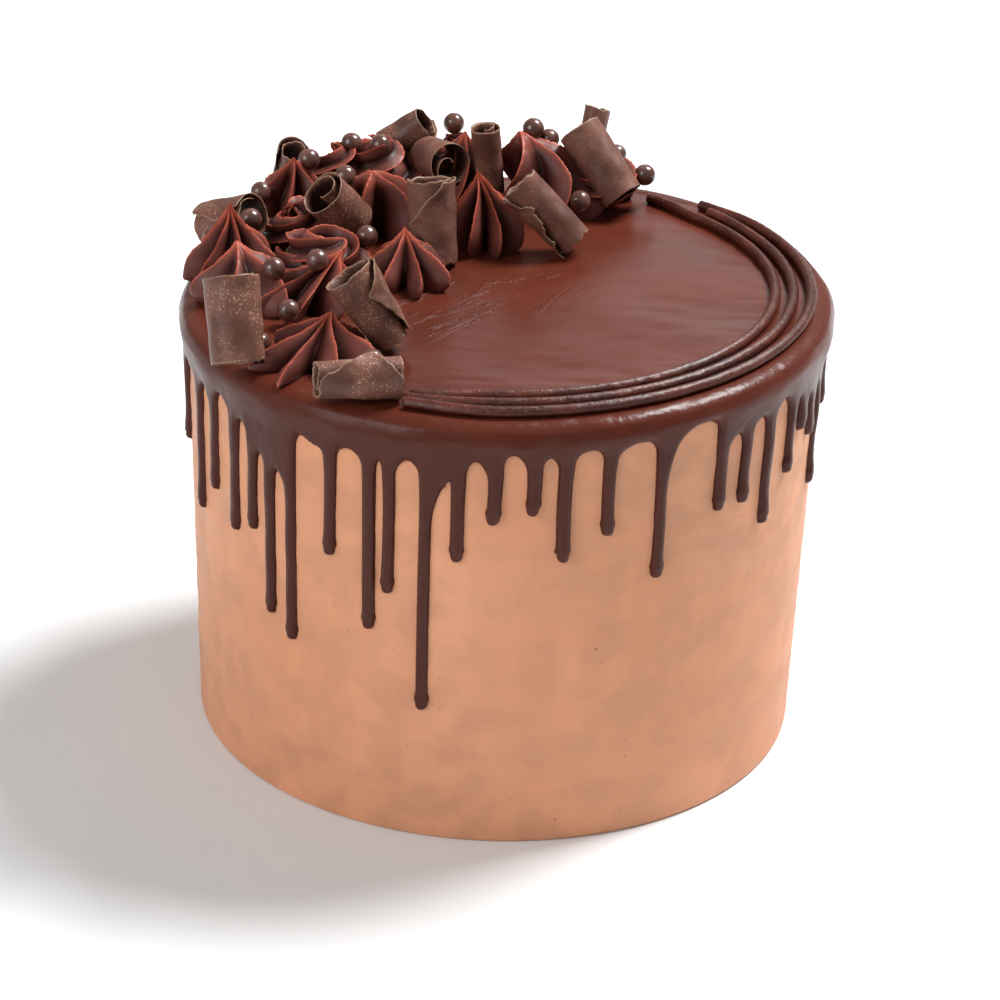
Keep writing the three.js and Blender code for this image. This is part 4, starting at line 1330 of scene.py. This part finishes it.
class CAKE_OT_roll_curls(bpy.types.Operator):
    """Roll the chocolate curls and lay them among the rosettes"""
    bl_idname = "cake.roll_curls"
    bl_label = "Roll the curls"

    def execute(self, context):
        for i, curl in enumerate(CURLS, 1):
            node = f"curl_{i:02d}"
            shape = rolled_curl(curl, 60 + i, 1.0 if i in DUSTY_CURLS else 0.3)
            put_solid(f"rolled_{node}", shape, "curl_chocolate", node)
        return {"FINISHED"}


class CAKE_OT_scatter_pearls(bpy.types.Operator):
    """Scatter the chocolate pearls over the rosettes"""
    bl_idname = "cake.scatter_pearls"
    bl_label = "Scatter the pearls"

    def execute(self, context):
        sizes = settings().pearls
        mesh = bpy.data.meshes.new("pearl_points")
        mesh.from_pydata([tuple(middle * MM) for middle in resting_middles()], [], [])
        values = {
            "Radius": sizes.radius, "Variation": sizes.variation, "Unevenness": sizes.unevenness,
            "Seed": sizes.seed,
        }
        source = bpy.data.objects.new("pearl_points", mesh)
        pearls = grown("chocolate_pearls", source, pearl_tree(), values, finish("pearl_chocolate"))
        put_on_cake(pearls, "pearl_chocolate", *pearl_nodes())
        return {"FINISHED"}


def add_light(name, place, aim, size, energy):
    light = bpy.data.lights.new(name, "AREA")
    light.energy = energy
    light.shape = "DISK"
    light.size = size
    lamp = bpy.data.objects.new(name, light)
    lamp.location = place
    lamp.rotation_euler = (Vector(aim) - Vector(place)).to_track_quat("-Z", "Y").to_euler()
    bpy.context.scene.collection.objects.link(lamp)


class CAKE_OT_set_stage(bpy.types.Operator):
    """Set a pale floor, soft light and the camera round the cake"""
    bl_idname = "cake.set_stage"
    bl_label = "Set the stage"

    def execute(self, context):
        stage = settings().stage
        mesh = bpy.data.meshes.new("floor")
        corners = [(-4, -4, 0), (4, -4, 0), (4, 4, 0), (-4, 4, 0)]
        mesh.from_pydata(corners, [], [(0, 1, 2, 3)])
        material = bpy.data.materials.new("floor")
        material.use_nodes = True
        shader = material.node_tree.nodes["Principled BSDF"]
        shader.inputs["Base Color"].default_value = rgba(stage.floor)
        shader.inputs["Roughness"].default_value = 0.7
        shader.inputs["Specular IOR Level"].default_value = 0.2
        mesh.materials.append(material)
        floor = bpy.data.objects.new("floor", mesh)
        context.scene.collection.objects.link(floor)

        for name, (place, aim, size) in LIGHTS.items():
            add_light(name, place, aim, size, getattr(stage, name))

        world = bpy.data.worlds.new("surroundings")
        world.use_nodes = True
        sky = world.node_tree.nodes["Background"]
        sky.inputs["Color"].default_value = (1.0, 0.985, 0.975, 1.0)
        sky.inputs["Strength"].default_value = stage.sky
        context.scene.world = world
        context.scene.view_settings.view_transform = "Standard"

        camera = bpy.data.cameras.new("camera")
        camera.sensor_width = 36
        camera.lens = CAMERA["lens"]
        camera.clip_end = 20
        viewer = bpy.data.objects.new("camera", camera)
        viewer.location = CAMERA["place"]
        tilt = Euler((math.radians(CAMERA["tilt"]), 0, 0)).to_matrix()
        viewer.rotation_euler = (tilt @ Matrix.Rotation(math.radians(CAMERA["roll"]), 3, "Z")).to_euler()
        context.scene.collection.objects.link(viewer)
        context.scene.camera = viewer
        return {"FINISHED"}


class CAKE_PT_panel(bpy.types.Panel):
    bl_idname = "CAKE_PT_panel"
    bl_label = "Chocolate layer cake"
    bl_space_type = "VIEW_3D"
    bl_region_type = "UI"
    bl_category = "Cake"

    def draw(self, context):
        layout = self.layout
        for name, group in (
            ("body", "Body"), ("ganache", "Ganache"), ("cream", "Cream"), ("curls", "Curls"),
            ("pearls", "Pearls"), ("finishes", "Finishes"), ("stage", "Stage"),
        ):
            box = layout.box()
            box.label(text=group)
            values = getattr(context.scene.layer_cake, name)
            for key in values.__annotations__:
                box.prop(values, key)
        for operator in OPERATORS:
            layout.operator(operator.bl_idname)


OPERATORS = (
    CAKE_OT_ice_body, CAKE_OT_pour_ganache, CAKE_OT_pipe_lines, CAKE_OT_pipe_stars,
    CAKE_OT_pipe_swirls, CAKE_OT_roll_curls, CAKE_OT_scatter_pearls, CAKE_OT_set_stage,
)
CLASSES = (
    CakeBodySizes, GanacheSizes, CreamSizes, CurlSizes, PearlSizes, CakeFinishes, StageSettings,
    CakeSettings, *OPERATORS, CAKE_PT_panel,
)


def register():
    for cls in CLASSES:
        bpy.utils.register_class(cls)
    bpy.types.Scene.layer_cake = bpy.props.PointerProperty(type=CakeSettings)


def unregister():
    del bpy.types.Scene.layer_cake
    for cls in reversed(CLASSES):
        bpy.utils.unregister_class(cls)


def main():
    register()
    bpy.ops.cake.ice_body()
    bpy.ops.cake.pour_ganache()
    bpy.ops.cake.pipe_lines()
    bpy.ops.cake.pipe_stars()
    bpy.ops.cake.pipe_swirls()
    bpy.ops.cake.roll_curls()
    bpy.ops.cake.scatter_pearls()
    bpy.ops.cake.set_stage()


if __name__ == "__main__":
    main()
